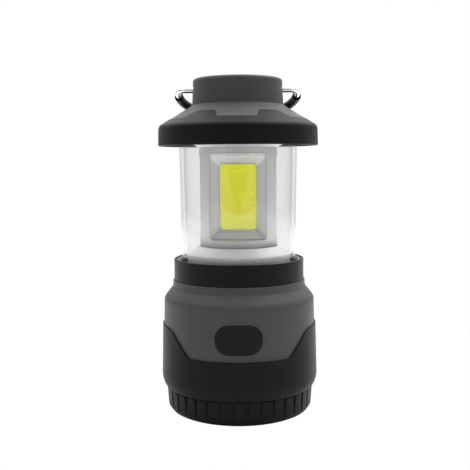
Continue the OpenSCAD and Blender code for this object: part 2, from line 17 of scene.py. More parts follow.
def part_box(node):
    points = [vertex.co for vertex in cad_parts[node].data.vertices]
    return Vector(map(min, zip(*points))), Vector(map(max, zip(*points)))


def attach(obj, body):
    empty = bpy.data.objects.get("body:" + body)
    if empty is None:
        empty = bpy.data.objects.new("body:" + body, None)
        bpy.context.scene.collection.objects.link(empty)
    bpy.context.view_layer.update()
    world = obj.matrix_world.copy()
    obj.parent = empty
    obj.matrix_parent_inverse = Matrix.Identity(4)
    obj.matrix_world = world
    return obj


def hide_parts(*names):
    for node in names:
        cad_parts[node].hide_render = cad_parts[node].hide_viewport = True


bl_info = {
    "name": "Camping Lantern",
    "version": (1, 0, 0),
    "blender": (4, 5, 0),
    "location": "3D View > Sidebar > Lantern",
    "description": "Finishes a camping lantern with a clear globe, a screw cap and a wire bail",
    "category": "Add Mesh",
}

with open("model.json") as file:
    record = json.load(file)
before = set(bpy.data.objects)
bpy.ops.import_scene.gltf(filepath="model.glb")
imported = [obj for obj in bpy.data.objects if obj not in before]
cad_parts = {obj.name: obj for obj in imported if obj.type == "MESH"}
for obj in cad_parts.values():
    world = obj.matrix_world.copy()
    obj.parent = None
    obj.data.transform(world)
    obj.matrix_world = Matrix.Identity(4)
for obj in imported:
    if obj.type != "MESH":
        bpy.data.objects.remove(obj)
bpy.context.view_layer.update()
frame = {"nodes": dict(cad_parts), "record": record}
MM = 0.001


def span(node):
    """Lowest and highest corner of a node of the frame, in millimetres."""
    low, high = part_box(node)
    return low / MM, high / MM


# ---- Places taken from the frame, in millimetres ----

CAP_HIGH = span("battery_cap")[1]
SHELL_HIGH = span("base_shell")[1]
SLEEVE_LOW, SLEEVE_HIGH = span("base_sleeve")
BUTTON_LOW, BUTTON_HIGH = span("power_button")
COLLAR_HIGH = span("neck_collar")[1]
CLAMP_LOW, CLAMP_HIGH = span("globe_retainer")
GLOBE_LOW, GLOBE_HIGH = span("globe")
CONE_LOW, CONE_HIGH = span("lower_reflector")
BELL_LOW, BELL_HIGH = span("upper_reflector")
POST_LOW, POST_HIGH = span("led_post")
LAMP_LOW, LAMP_HIGH = span("led_phosphor_1")
HEAD_HIGH = span("head_shell")[1]
BRIM_LOW, BRIM_HIGH = span("head_brim")
WIRE_LOW, WIRE_HIGH = span("handle_wire")

CAP_R, CAP_TOP = CAP_HIGH.x, CAP_HIGH.z
WALL_R, WALL_THICK, SHELL_TOP = SHELL_HIGH.x, 2.5, SHELL_HIGH.z
SLEEVE_R, SLEEVE_FOOT, SLEEVE_TOP = SLEEVE_HIGH.x, SLEEVE_LOW.z, SLEEVE_HIGH.z
BUTTON_FLANGE = 1.2
BUTTON_W = BUTTON_HIGH.x - BUTTON_LOW.x - 2 * BUTTON_FLANGE
BUTTON_H = BUTTON_HIGH.z - BUTTON_LOW.z - 2 * BUTTON_FLANGE
BUTTON_Z = (BUTTON_HIGH.z + BUTTON_LOW.z) / 2
BUTTON_CORNER = BUTTON_H / 2 - 0.6
BUTTON_FACE = -BUTTON_LOW.y
COLLAR_R, COLLAR_TOP = COLLAR_HIGH.x, COLLAR_HIGH.z
CLAMP_R = CLAMP_HIGH.x
POST_R = POST_HIGH.x
BRIM_R, BRIM_FOOT = BRIM_HIGH.x, BRIM_LOW.z
TOTAL_H = HEAD_HIGH.z
CONE_TOP, CONE_SLOPE, NECK_R = TOTAL_H - 16, math.radians(31.6), 27.2
HINGE_Z = TOTAL_H - 7
# A lamp's gel spreads this far past its node, in width and in height.
LAMP_SPREAD_W, LAMP_SPREAD_H = 0.9, 1.2
LAMP_Z = (LAMP_LOW.z + LAMP_HIGH.z) / 2
LAMP_W = LAMP_HIGH.x - LAMP_LOW.x + LAMP_SPREAD_W
LAMP_H = LAMP_HIGH.z - LAMP_LOW.z + LAMP_SPREAD_H
LAMP_FACE, LAMP_BACK = -LAMP_LOW.y, -LAMP_HIGH.y
LAMP_AZIMUTHS = (0, 120, 240)
WINDOW_W, WINDOW_H, WINDOW_CORNER = 33.4, 50.4, 2.3
WIRE_R = 1.7
BAIL_R = (WIRE_HIGH.x - WIRE_LOW.x) / 2 - WIRE_R
BAIL_LEG = 7.0
BAIL_REST = math.radians(-18.3)
# Half of the step between the brim's rubber and the head's plastic.
STEP = 0.15
# Edges that turn by more than this stay crisp.
SHARP = math.radians(34)


# ---- Outlines ----


def fillet(points, closed=False, turn=15):
    """Rounds the corners of an outline, by one point for each turn of this many degrees.

    A point is (x, y) or (x, y, radius). A point is held beside each round, so that the shading
    stays flat on the straight stretches.
    """
    hold, longest_share, nearly_straight = 0.12, 0.46, math.radians(89.5)
    out, count = [], len(points)
    for i, point in enumerate(points):
        corner, radius = Vector(point[:2]), point[2] if len(point) > 2 else 0
        if not radius or (not closed and i in (0, count - 1)):
            out.append(corner)
            continue
        before = Vector(points[i - 1][:2]) - corner
        after = Vector(points[(i + 1) % count][:2]) - corner
        half = before.angle(after) / 2
        if half > nearly_straight:
            out.append(corner)
            continue
        longest = longest_share * min(before.length, after.length)
        reach = min(radius / math.tan(half), longest)
        radius = reach * math.tan(half)
        a, b = before.normalized(), after.normalized()
        centre = corner + (a + b).normalized() * radius / math.sin(half)
        start, end = corner + a * reach, corner + b * reach
        steps = max(2, math.ceil(math.degrees(math.pi - 2 * half) / turn))
        if 2 * (reach + hold) < before.length:
            out.append(corner + a * (reach + hold))
        from_angle = math.atan2(*(start - centre).yx)
        swing = math.remainder(math.atan2(*(end - centre).yx) - from_angle, math.tau)
        for k in range(steps + 1):
            t = from_angle + swing * k / steps
            out.append(centre + radius * Vector((math.cos(t), math.sin(t))))
        if 2 * (reach + hold) < after.length:
            out.append(corner + b * (reach + hold))
    return out


def fill_in(points, longest):
    """Adds points to an open outline so that no stretch is longer than this."""
    out = [points[0]]
    for a, b in zip(points, points[1:]):
        steps = max(1, math.ceil((b - a).length / longest))
        out += [a.lerp(b, k / steps) for k in range(1, steps + 1)]
    return out


def rim(width, height, corner, across, up):
    """Points round a rounded rectangle, anticlockwise from the middle of its lower left corner.

    There are as many as across on each level side and as up on each upright one, and they
    stand closer together at the corners.
    """
    crowding = 0.1
    corner = max(0.05, min(corner, width / 2 - 0.01, height / 2 - 0.01))
    arc = corner * math.pi / 4
    out = []
    sides = [(width, height, across), (height, width, up)] * 2
    for side, (run, reach, count) in enumerate(sides):
        straight = run - 2 * corner
        for k in range(count):
            t = k / count
            s = (2 * arc + straight) * (t - crowding * math.sin(math.tau * t))
            if s < arc:
                a = -3 * math.pi / 4 + s / corner
                x, y = -straight / 2 + corner * math.cos(a), corner * math.sin(a)
            elif s < arc + straight:
                x, y = s - arc - straight / 2, -corner
            else:
                a = -math.pi / 2 + (s - arc - straight) / corner
                x, y = straight / 2 + corner * math.cos(a), corner * math.sin(a)
            y -= reach / 2 - corner
            for _ in range(side):
                x, y = -y, x
            out.append((x, y))
    return out


def cone_z(radius):
    """Height of the head's cone at a radius, between the rubber's face and the plastic's."""
    return CONE_TOP + (NECK_R - radius) * math.tan(CONE_SLOPE)


def on_line(points, z):
    """Radius at a height on an outline that only climbs."""
    for (r0, z0), (r1, z1) in zip(points, points[1:]):
        if z <= z1:
            return r0 + (r1 - r0) * max(0.0, z - z0) / (z1 - z0)
    return points[-1][0]


def round_axis(radius, azimuth, z):
    """The point at a radius, azimuth and height."""
    a = math.radians(azimuth)
    return radius * math.sin(a), -radius * math.cos(a), z


def from_front(x, depth, z, azimuth=0):
    """The point at x to the right and at a depth in front of the axis, seen from an azimuth."""
    a = math.radians(azimuth)
    return x * math.cos(a) + depth * math.sin(a), x * math.sin(a) - depth * math.cos(a), z


# ---- Solids ----


def add_object(name, data):
    """Makes an object of a mesh, a light or a camera, at the origin."""
    obj = bpy.data.objects.new(name, data)
    bpy.context.scene.collection.objects.link(obj)
    return obj


class Solid:
    """Vertices in millimetres and faces, gathered from the shells that make one piece."""

    def __init__(self):
        self.points, self.faces = [], []

    def ring(self, points):
        """Adds one row of points and returns their numbers."""
        first = len(self.points)
        self.points += [tuple(p) for p in points]
        return list(range(first, len(self.points)))

    def join(self, a, b, closed=True):
        """Faces between two rows with as many points."""
        count = len(a)
        for i in range(count if closed else count - 1):
            k = (i + 1) % count
            self.faces.append((a[i], a[k], b[k], b[i]))

    def loft(self, rows, loop=False, caps=False):
        """Faces through closed rows of points.

        loop joins the last row to the first, and caps covers both ends.
        """
        rings = [self.ring(row) for row in rows]
        for a, b in zip(rings, rings[1:] + rings[:1] if loop else rings[1:]):
            self.join(a, b)
        if caps:
            self.faces += [tuple(rings[0]), tuple(reversed(rings[-1]))]
        return rings

    def turn(self, outline, columns=192, loop=True, shape=None):
        """Turns an outline of (radius, height) round the axis.

        shape may move a point: it takes radius, azimuth and height and gives radius and height.
        """
        shape = shape or (lambda r, a, z: (r, z))
        rows = []
        for r, z in outline:
            row = []
            for c in range(columns):
                azimuth = 360 * c / columns
                row_r, row_z = shape(r, azimuth, z)
                row.append(round_axis(row_r, azimuth, row_z))
            rows.append(row)
        return self.loft(rows, loop=loop)

    def mesh(self, name):
        """The mesh in metres, smooth but for its sharp corners."""
        mesh = bpy.data.meshes.new(name)
        mesh.from_pydata([tuple(c * MM for c in p) for p in self.points], [], self.faces)
        clean(mesh)
        return mesh

    def build(self, name, finish, body, stands_for=()):
        """Makes the piece."""
        return fit(add_object(name, self.mesh(name)), finish, body, stands_for)


def smooth(mesh):
    """Smooth shading, but for the sharp corners."""
    mesh.shade_smooth()
    mesh.set_sharp_from_angle(angle=SHARP)


def clean(mesh):
    """Merges doubles, drops empty faces, turns every face outwards and sets the shading."""
    work = bmesh.new()
    work.from_mesh(mesh)
    bmesh.ops.remove_doubles(work, verts=work.verts, dist=0.0005 * MM)
    bmesh.ops.dissolve_degenerate(work, edges=work.edges, dist=0.0002 * MM)
    bmesh.ops.recalc_face_normals(work, faces=work.faces)
    work.to_mesh(mesh)
    work.free()
    smooth(mesh)


def paint(mesh, finish):
    """Gives a mesh one finish."""
    mesh.materials.clear()
    mesh.materials.append(finish)


def fit(obj, finish, body, stands_for=()):
    """Gives a piece its finish, its body and the nodes that it stands for."""
    paint(obj.data, finish)
    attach(obj, body)
    if stands_for:
        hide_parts(*stands_for)
    return obj


class Opening:
    """A hole through a turned wall, with the block of the wall's cells that it takes the place of.

    half_width is in degrees and half_height in millimetres. across and up count the cells.
    """

    def __init__(self, azimuth, z, half_width, half_height, across, up):
        self.azimuth, self.z = azimuth, z
        self.half_width, self.half_height = half_width, half_height
        self.across, self.up = across, up

    def levels(self):
        """Heights of the wall's rows across the block."""
        return [
            self.z - self.half_height + 2 * self.half_height * k / self.up
            for k in range(self.up + 1)
        ]

    def outline(self, width, height, corner):
        """The rim's points, at the block's height."""
        return [(x, y + self.z) for x, y in rim(width, height, corner, self.across, self.up)]

    def block(self, radius_at):
        """The block's edge as (x, height) points on the wall, in the order of the rim's points."""
        low, high = self.z - self.half_height, self.z + self.half_height
        w, n, m = self.half_width, self.across, self.up
        walk = [(-w + 2 * w * k / n, low) for k in range(n)]
        walk += [(w, low + (high - low) * k / m) for k in range(m)]
        walk += [(w - 2 * w * k / n, high) for k in range(n)]
        walk += [(-w, high - (high - low) * k / m) for k in range(m)]
        return [(radius_at(z) * math.sin(math.radians(a)), z) for a, z in walk]

    def on_wall(self, x, z, radius):
        """The point of the wall at x and z, seen from the opening's azimuth."""
        return from_front(x, math.sqrt(max(radius**2 - x**2, 0)), z, self.azimuth)


def nearest(outline, radius, z):
    """Number of the outline's point that is nearest to a radius and height."""
    return min(
        range(len(outline)), key=lambda k: abs(outline[k][0] - radius) + abs(outline[k][1] - z)
    )


def pierced_wall(solid, outline, openings, outer_at, inner_at, chains):
    """Turns a closed outline and leaves out each opening's block of cells, inside and outside.

    chains holds, for each opening, the rows of points that lead from the outer block's edge
    through the opening to the inner one.
    """
    columns = 240
    rows = [[round_axis(r, 360 * c / columns, z) for c in range(columns)] for r, z in outline]
    rings = [solid.ring(row) for row in rows]
    skipped = set()
    for opening, rows_between in zip(openings, chains):
        first = round((opening.azimuth - opening.half_width) * columns / 360)
        n, m = opening.across, opening.up
        edges = []
        for radius_at in (outer_at, inner_at):
            found = [nearest(outline, radius_at(z), z) for z in opening.levels()]
            for a, b in zip(found, found[1:]):
                skipped |= {(min(a, b), (first + c) % columns) for c in range(n)}
            walk = [(found[0], k) for k in range(n)] + [(found[k], n) for k in range(m)]
            walk += [(found[m], n - k) for k in range(n)] + [(found[m - k], 0) for k in range(m)]
            edges.append([rings[row][(first + c) % columns] for row, c in walk])
        path = [edges[0]] + [solid.ring(row) for row in rows_between] + [edges[1]]
        for a, b in zip(path, path[1:]):
            solid.join(a, b)
    for r in range(len(rings)):
        a, b = rings[r], rings[(r + 1) % len(rings)]
        for c in range(columns):
            if (r, c) not in skipped:
                k = (c + 1) % columns
                solid.faces.append((a[c], a[k], b[k], b[c]))


def between(a, b, steps, ease=1.0):
    """Rows of (x, z) points between two rows, without the rows themselves."""
    out = []
    for k in range(1, steps):
        t = (k / steps) ** ease
        out.append([(p[0] + (q[0] - p[0]) * t, p[1] + (q[1] - p[1]) * t) for p, q in zip(a, b)])
    return out


# ---- Finishes ----


class Value:
    """A socket that takes part in Python arithmetic."""

    def __init__(self, sheet, socket):
        self.sheet, self.socket = sheet, socket

    def maths(self, operation, a, b=0.0):
        return self.sheet.add("ShaderNodeMath", {"operation": operation}, {0: a, 1: b})

    def __add__(self, other):
        return self.maths("ADD", self, other)

    __radd__ = __add__

    def __sub__(self, other):
        return self.maths("SUBTRACT", self, other)

    def __rsub__(self, other):
        return self.maths("SUBTRACT", other, self)

    def __mul__(self, other):
        return self.maths("MULTIPLY", self, other)

    __rmul__ = __mul__

    def __neg__(self):
        return self.maths("MULTIPLY", self, -1.0)

    def within(self, low, high):
        return self.maths("MAXIMUM", self.maths("MINIMUM", self, high), low)

    def power(self, exponent):
        return self.maths("POWER", self, exponent)

    def size(self):
        return self.maths("ABSOLUTE", self)

    def rise(self, low, high):
        """0 below low, 1 above high and smooth between."""
        settings = {"interpolation_type": "SMOOTHSTEP"}
        return self.sheet.add("ShaderNodeMapRange", settings, {0: self, 1: low, 2: high})


class Sheet:
    """The nodes of one material or of the world."""

    def __init__(self, owner):
        owner.use_nodes = True
        self.tree = owner.node_tree
        self.tree.nodes.clear()

    def add(self, kind, settings=None, inputs=None, out=0):
        """Makes a node, sets it, fills its sockets with values or links, and gives one output."""
        node = self.tree.nodes.new(kind)
        for key, value in (settings or {}).items():
            setattr(node, key, value)
        for key, value in (inputs or {}).items():
            if isinstance(value, Value):
                self.tree.links.new(value.socket, node.inputs[key])
            else:
                node.inputs[key].default_value = value
        return Value(self, node.outputs[out])

    def place(self):
        """Where a point is on its piece, in metres."""
        return self.add("ShaderNodeTexCoord", out="Object")

    def noise(self, grain, detail=2.0, roughness=0.5, place=None):
        """Noise from 0 to 1 whose lumps are about this many millimetres across."""
        inputs = {
            "Vector": place or self.place(),
            "Scale": 1 / (grain * MM),
            "Detail": detail,
            "Roughness": roughness,
        }
        return self.add("ShaderNodeTexNoise", None, inputs)

    def blend(self, amount, a, b):
        """One colour or the other, by amount."""
        settings = {"data_type": "RGBA", "clamp_factor": True}
        return self.add("ShaderNodeMix", settings, {0: amount, 6: a, 7: b}, out=2)

    def bump(self, height, depth):
        """A normal from a height of 0 to 1 that stands for this many millimetres."""
        inputs = {"Height": height, "Strength": 1.0, "Distance": depth * MM}
        return self.add("ShaderNodeBump", None, inputs)

    def finish(self, surface, kind="ShaderNodeOutputMaterial"):
        """Links the last shader to the output."""
        output = self.tree.nodes.new(kind)
        self.tree.links.new(surface.socket, output.inputs["Surface"])


def shade(colour, factor):
    """A colour, lighter or darker, with its alpha."""
    return (*(min(1.0, c * factor) for c in colour[:3]), 1.0)


def new_sheet(name):
    """A new material and its empty sheet."""
    material = bpy.data.materials.new(name)
    return material, Sheet(material)


def moulded(name, colour, roughness, specular=0.3, grain=0.35, depth=0.012, mottle=0.06, dust=0.0):
    """Moulded plastic or rubber.

    It has an even grain from the mould, faint clouds in colour and gloss, and a few specks of dust.
    """
    material, sheet = new_sheet(name)
    fine = sheet.noise(grain, 3.0, 0.6)
    cloud = sheet.noise(19.0, 2.0)
    tone = (cloud - 0.5) * mottle * 1.6 + (fine - 0.5) * mottle + 0.5
    base = sheet.blend(tone, shade(colour, 1 - mottle * 2), shade(colour, 1 + mottle * 2))
    if dust:
        spacing, dust_colour = 7.0, (0.55, 0.55, 0.53, 1.0)
        cells = {"Vector": sheet.place(), "Scale": 1 / (spacing * MM), "Randomness": 1.0}
        far = sheet.add("ShaderNodeTexVoronoi", None, cells, out="Distance")
        pick = sheet.add("ShaderNodeTexVoronoi", None, cells, out="Color")
        chance = sheet.add("ShaderNodeSeparateColor", None, {0: pick})
        speck = (1 - far.rise(0.018, 0.032)) * chance.rise(0.82, 0.86)
        base = sheet.blend(speck * dust, base, dust_colour)
    inputs = {
        "Base Color": base,
        "Roughness": roughness + (cloud - 0.5) * 0.10 + (fine - 0.5) * 0.06,
        "Specular IOR Level": specular,
        "Normal": sheet.bump(fine, depth),
    }
    sheet.finish(sheet.add("ShaderNodeBsdfPrincipled", None, inputs))
    return material


def metal(name, colour, roughness, grain=0.4, depth=0.004, streak=0.0, metallic=1.0, foot=None):
    """Plated, painted or bare metal.

    It has a fine orange peel, streaks round the axis where it was turned, and painted shade that
    darkens it just above the height of its foot.
    """
    material, sheet = new_sheet(name)
    fine = sheet.noise(grain, 3.0, 0.55)
    cloud = sheet.noise(9.0, 2.0)
    tone = (cloud - 0.5) * 0.7 + 0.5
    if streak:
        stretched = {"Vector": sheet.place(), "Scale": (0.06, 0.06, 1.0)}
        round_it = sheet.add("ShaderNodeMapping", None, stretched)
        lines = sheet.noise(0.22, 2.0, 0.6, place=round_it)
        tone = tone + (lines - 0.5) * streak
    base = sheet.blend(tone, shade(colour, 0.95), shade(colour, 1.05))
    if foot is not None:
        # Painted shade where the post leaves the cone: the colour darkens to 0.3 of itself towards
        # the foot, over the lowest 6.5 mm.
        painted_shade_height = 6.5
        height = sheet.add("ShaderNodeSeparateXYZ", None, {0: sheet.place()}, out="Z")
        base = sheet.blend(height.rise(foot * MM, (foot + painted_shade_height) * MM), shade(colour, 0.3), base)
    inputs = {
        "Base Color": base,
        "Metallic": metallic,
        "Roughness": roughness + (cloud - 0.5) * 0.08 + (fine - 0.5) * 0.05,
        "Normal": sheet.bump(fine, depth),
    }
    sheet.finish(sheet.add("ShaderNodeBsdfPrincipled", None, inputs))
    return material


def clear_plastic(name, tint):
    """Clear polycarbonate: each face lets light through with a little tint and mirrors the rest."""
    material, sheet = new_sheet(name)
    normal = sheet.bump(sheet.noise(14.0, 1.0), 0.02)
    edge_on = {"Blend": 0.5, "Normal": normal}
    facing = sheet.add("ShaderNodeLayerWeight", None, edge_on, out="Facing")
    mirror = facing.power(5.0) * 0.93 + 0.07
    polish = {"Base Color": (0.5, 0.505, 0.505, 1.0), "Metallic": 1.0, "Roughness": 0.02}
    gloss = sheet.add("ShaderNodeBsdfPrincipled", None, {**polish, "Normal": normal})
    through = sheet.add("ShaderNodeBsdfTransparent", None, {"Color": (*tint, 1.0)})
    mixed = sheet.add("ShaderNodeMixShader", None, {0: mirror, 1: through, 2: gloss})
    sheet.finish(mixed)
    return material


def phosphor_gel(name, colour):
    """Silicone full of yellow phosphor: faint clouds, and a soft wet gloss."""
    material, sheet = new_sheet(name)
    cloud = sheet.noise(3.5, 3.0)
    fine = sheet.noise(0.6, 2.0)
    tone = (cloud - 0.5) * 0.9 + (fine - 0.5) * 0.35 + 0.5
    inputs = {
        "Base Color": sheet.blend(tone, shade(colour, 0.93), shade(colour, 1.07)),
        "Roughness": 0.45 + (fine - 0.5) * 0.08,
        "Specular IOR Level": 0.4,
        "Coat Weight": 0.2,
        "Coat Roughness": 0.3,
        "Emission Color": (*colour, 1.0),
        "Emission Strength": 0.15,
        "Normal": sheet.bump(fine, 0.01),
    }
    sheet.finish(sheet.add("ShaderNodeBsdfPrincipled", None, inputs))
    return material


def laminate(name, colour):
    """Circuit board: green resist over a weave of copper tracks."""
    material, sheet = new_sheet(name)
    weave = {
        "Vector": sheet.place(),
        "Color1": (1.0, 1.0, 1.0, 1.0),
        "Color2": (0.7, 0.7, 0.7, 1.0),
        "Mortar": (0.0, 0.0, 0.0, 1.0),
        "Scale": 1 / (9.0 * MM),
        "Mortar Size": 0.03,
    }
    tracks = sheet.add("ShaderNodeTexBrick", None, weave)
    base = sheet.blend(tracks, shade(colour, 1.5), shade(colour, 0.85))
    inputs = {"Base Color": base, "Roughness": 0.3 + sheet.noise(0.5) * 0.12}
    sheet.finish(sheet.add("ShaderNodeBsdfPrincipled", None, inputs))
    return material


FINISHES = {}


def finishes():
    """Every finish of the lantern, most of them by their slot. They are made once."""
    if FINISHES:
        return FINISHES
    look = bpy.context.scene.lantern_colours
    grey, black, silver = tuple(look.grey), tuple(look.rubber), tuple(look.silver)
    # The numbers of moulded are roughness, specular, grain, depth, mottle and dust, and those of
    # metal are roughness, grain, depth, streak, metallic and foot.
    FINISHES.update(
        grey_plastic=moulded("Grey_moulded_plastic", grey, 0.5, 0.14, 0.35, 0.010, 0.05),
        black_plastic=moulded("Black_moulded_plastic", black, 0.45, 0.09, 0.3, 0.008, 0.08),
        black_rubber=moulded("Black_soft_rubber", black, 0.5, 0.09, 0.28, 0.014, 0.08, 0.5),
        button_rubber=moulded("Button_rubber", shade(black, 1.2), 0.5, 0.1, 0.22, 0.008, 0.06),
        grip_rubber=moulded("Grip_rubber", shade(black, 0.7), 0.42, 0.14, 0.5, 0.006, 0.08),
        seal_rubber=moulded("Seal_rubber", shade(black, 0.6), 0.4, 0.3, 0.4, 0.01, 0.1),
        inner_plastic=moulded("Inner_plastic", (0.035, 0.035, 0.038), 0.5, 0.3, 0.5, 0.01, 0.08),
        ring_plastic=moulded("Clamp_ring_plastic", shade(grey, 1.25), 0.4, 0.3, 0.3, 0.008, 0.05),
        clear_plastic=clear_plastic("Clear_polycarbonate", tuple(look.clear)),
        # silver_plating carries painted shade over the lowest 6.5 mm of the post, above the cone's
        # top.
        silver_plating=metal("Satin_silver", silver, 0.42, 0.5, 0.003, 0.5, 0.5, CONE_HIGH.z),
        silver_paint=metal("Satin_silver_cone", shade(silver, 1.04), 0.55, 0.5, 0.003, 0.3, 0.2),
        sink_aluminium=metal("Extruded_aluminium", (0.62, 0.63, 0.64), 0.38, 0.3, 0.006, 1.2),
        chrome_wire=metal("Bright_chrome", (0.82, 0.82, 0.83), 0.09, 0.8, 0.001),
        steel=metal("Zinc_plated_steel", (0.55, 0.55, 0.54), 0.3, 0.3, 0.005, 0.6),
        phosphor=phosphor_gel("Phosphor_silicone", tuple(look.phosphor)),
        dam_silicone=moulded("Dam_silicone", (0.80, 0.80, 0.38), 0.4, 0.4, 0.5, 0.003, 0.04),
        led_ceramic=moulded("White_ceramic", (0.72, 0.72, 0.70), 0.35, 0.5, 0.5, 0.003, 0.04),
        circuit_laminate=laminate("Circuit_laminate", (0.03, 0.14, 0.06)),
        chip_plastic=moulded("Chip_epoxy", (0.02, 0.02, 0.022), 0.4, 0.4, 0.4, 0.006, 0.1),
        cell_wrapper=metal("Cell_wrapper", (0.40, 0.42, 0.45), 0.28, 0.6, 0.003, 0.3),
        red_wire=moulded("Red_wire_cover", (0.42, 0.02, 0.02), 0.4, 0.4, 0.5, 0.004, 0.06),
        black_wire=moulded("Black_wire_cover", (0.015, 0.015, 0.016), 0.4, 0.4, 0.5, 0.004, 0.06),
    )
    return FINISHES


# ---- Pieces ----


def wall_outer(z):
    """Radius of the grey wall, which leans in a little over a height above the sleeve."""
    lean, height = 0.35, 13.3
    return WALL_R - lean * max(0.0, z - SLEEVE_TOP - 0.3) / height


def wall_inner(_):
    """Radius of the grey wall's inside, at any height."""
    return WALL_R - WALL_THICK


def hole_rows(opening, width, height, corner, outer_at, inner_at, soft=0.3):
    """Rows that lead from the wall's outer block, over a soft rim, to its inner block."""
    rows = []
    wide = opening.outline(width + 2.4 * soft, height + 2.4 * soft, corner + 1.2 * soft)
    for row in between(opening.block(outer_at), wide, 5, 0.8):
        rows.append([opening.on_wall(x, z, outer_at(z)) for x, z in row])
    for step in range(-1, 5):
        a = math.radians(90 - 22.5 * max(step, 0))
        out = soft * 1.2 if step < 0 else soft * (1 - math.cos(a))
        sunk = 0.0 if step < 0 else soft * (1 - math.sin(a))
        row = opening.outline(width + 2 * out, height + 2 * out, corner + out)
        rows.append([opening.on_wall(x, z, outer_at(z) - sunk) for x, z in row])
    mouth = opening.outline(width, height, corner)
    for row in [mouth, *between(mouth, opening.block(inner_at), 4)]:
        rows.append([opening.on_wall(x, z, inner_at(z)) for x, z in row])
    return rows


def make_base_wall(sizes):
    """The grey wall with its shoulder and throat, the button's opening, and the threaded spigot."""
    opening = Opening(0, BUTTON_Z, 24, 11.4, 32, 20)
    play = 2 * sizes.button_gap
    spigot, spigot_foot, throat = 40.6, 5.0, 37.6
    outline = [(WALL_R - 1.3, SLEEVE_FOOT, 0.3), (WALL_R, SLEEVE_FOOT + 4.7, 2), (WALL_R, 37.0)]
    outline += [(wall_outer(z), z) for z in opening.levels()]
    outline += [
        (WALL_R - 0.35, 68.95, 5.6),
        (40.7, SHELL_TOP - 4.63, 1.2),
        (40.2, SHELL_TOP - 3.53, 0.8),
        (40.0, SHELL_TOP, 0.3),
        (throat, SHELL_TOP, 0.3),
        (throat, 76.0, 0.4),
        (39.2, 73.6, 1),
        (41.0, 70.5, 2),
        (43.2, 65.5, 1),
    ]
    outline += [(wall_inner(z), z) for z in reversed(opening.levels())]
    outline += [(43.2, 20.5, 0.5), (39.3, 17.7, 0.5), (39.3, spigot_foot, 0.3)]
    outline += [(spigot, spigot_foot, 0.4), (spigot, SLEEVE_FOOT, 0.2)]
    solid = Solid()
    mouth = (BUTTON_W + play, BUTTON_H + play, BUTTON_CORNER + play / 2)
    rows = hole_rows(opening, *mouth, wall_outer, wall_inner)
    outline = fillet(outline, closed=True)
    pierced_wall(solid, outline, [opening], wall_outer, wall_inner, [rows])
    helix(solid, spigot - 0.3, spigot + 1.1, 6.6)
    finish = finishes()["grey_plastic"]
    return solid.build("base_wall", finish, "lantern", ["base_shell"])


def helix(solid, root, crest, low):
    """The cap's thread: a ridge that climbs by its lead in each turn and runs out at both ends."""
    lead, turned = 4.0, 540
    steps = round(turned / 5)
    rows = []
    for k in range(steps + 1):
        azimuth = turned * k / steps
        z = low + lead * azimuth / 360
        grow = min(1.0, min(k, steps - k) / 5)
        top = root + (crest - root) * (0.15 + 0.85 * grow)
        section = [(root, -0.9), (top, -0.4 * grow - 0.1), (top, 0.4 * grow + 0.1), (root, 0.9)]
        rows.append([round_axis(r, azimuth, z + dz) for r, dz in section])
    solid.loft(rows, caps=True)


def quarter_loop(path):
    """A whole turn from a path of (azimuth, value) over its first quarter, mirrored each way."""
    half = path + [(180 - a, v) for a, v in reversed(path[:-1])]
    return half[:-1] + [(a + 180, v) for a, v in half[:-1]]


def inset(loop, radius, away):
    """Unit steps at right angles to a loop of (azimuth, value) laid flat at a radius.

    away is 1 for the side where the values are greater, and -1 for the other.
    """
    flat = [(math.radians(a) * radius, v) for a, v in loop]
    whole = math.tau * radius
    out = []
    for i in range(len(flat)):
        before, after = flat[i - 1], flat[(i + 1) % len(flat)]
        du = (after[0] - before[0]) % whole
        dv = after[1] - before[1]
        length = math.hypot(du, dv) or 1
        out.append((-dv / length * away, du / length * away))
    return out


# A rubber edge of radius 1, as (distance from the edge, share of the height). A share of None
# is a point on the wall beneath.
SOFT_EDGE = [
    (0.0, None), (0.0, 0.0), (0.12, 0.45), (0.35, 0.75), (0.65, 0.94), (1.0, 1.0), (1.4, 1.0),
]


def edge_rows(loop, radius, away, soft):
    """Rows of (azimuth, value, share of height) over a soft edge, from its foot inwards."""
    steps = list(zip(loop, inset(loop, radius, away)))
    rows = []
    for offset, share in SOFT_EDGE:
        d = offset * soft
        rows.append(
            [(a + math.degrees(u * d / radius), v + w * d, share) for (a, v), (u, w) in steps]
        )
    return rows


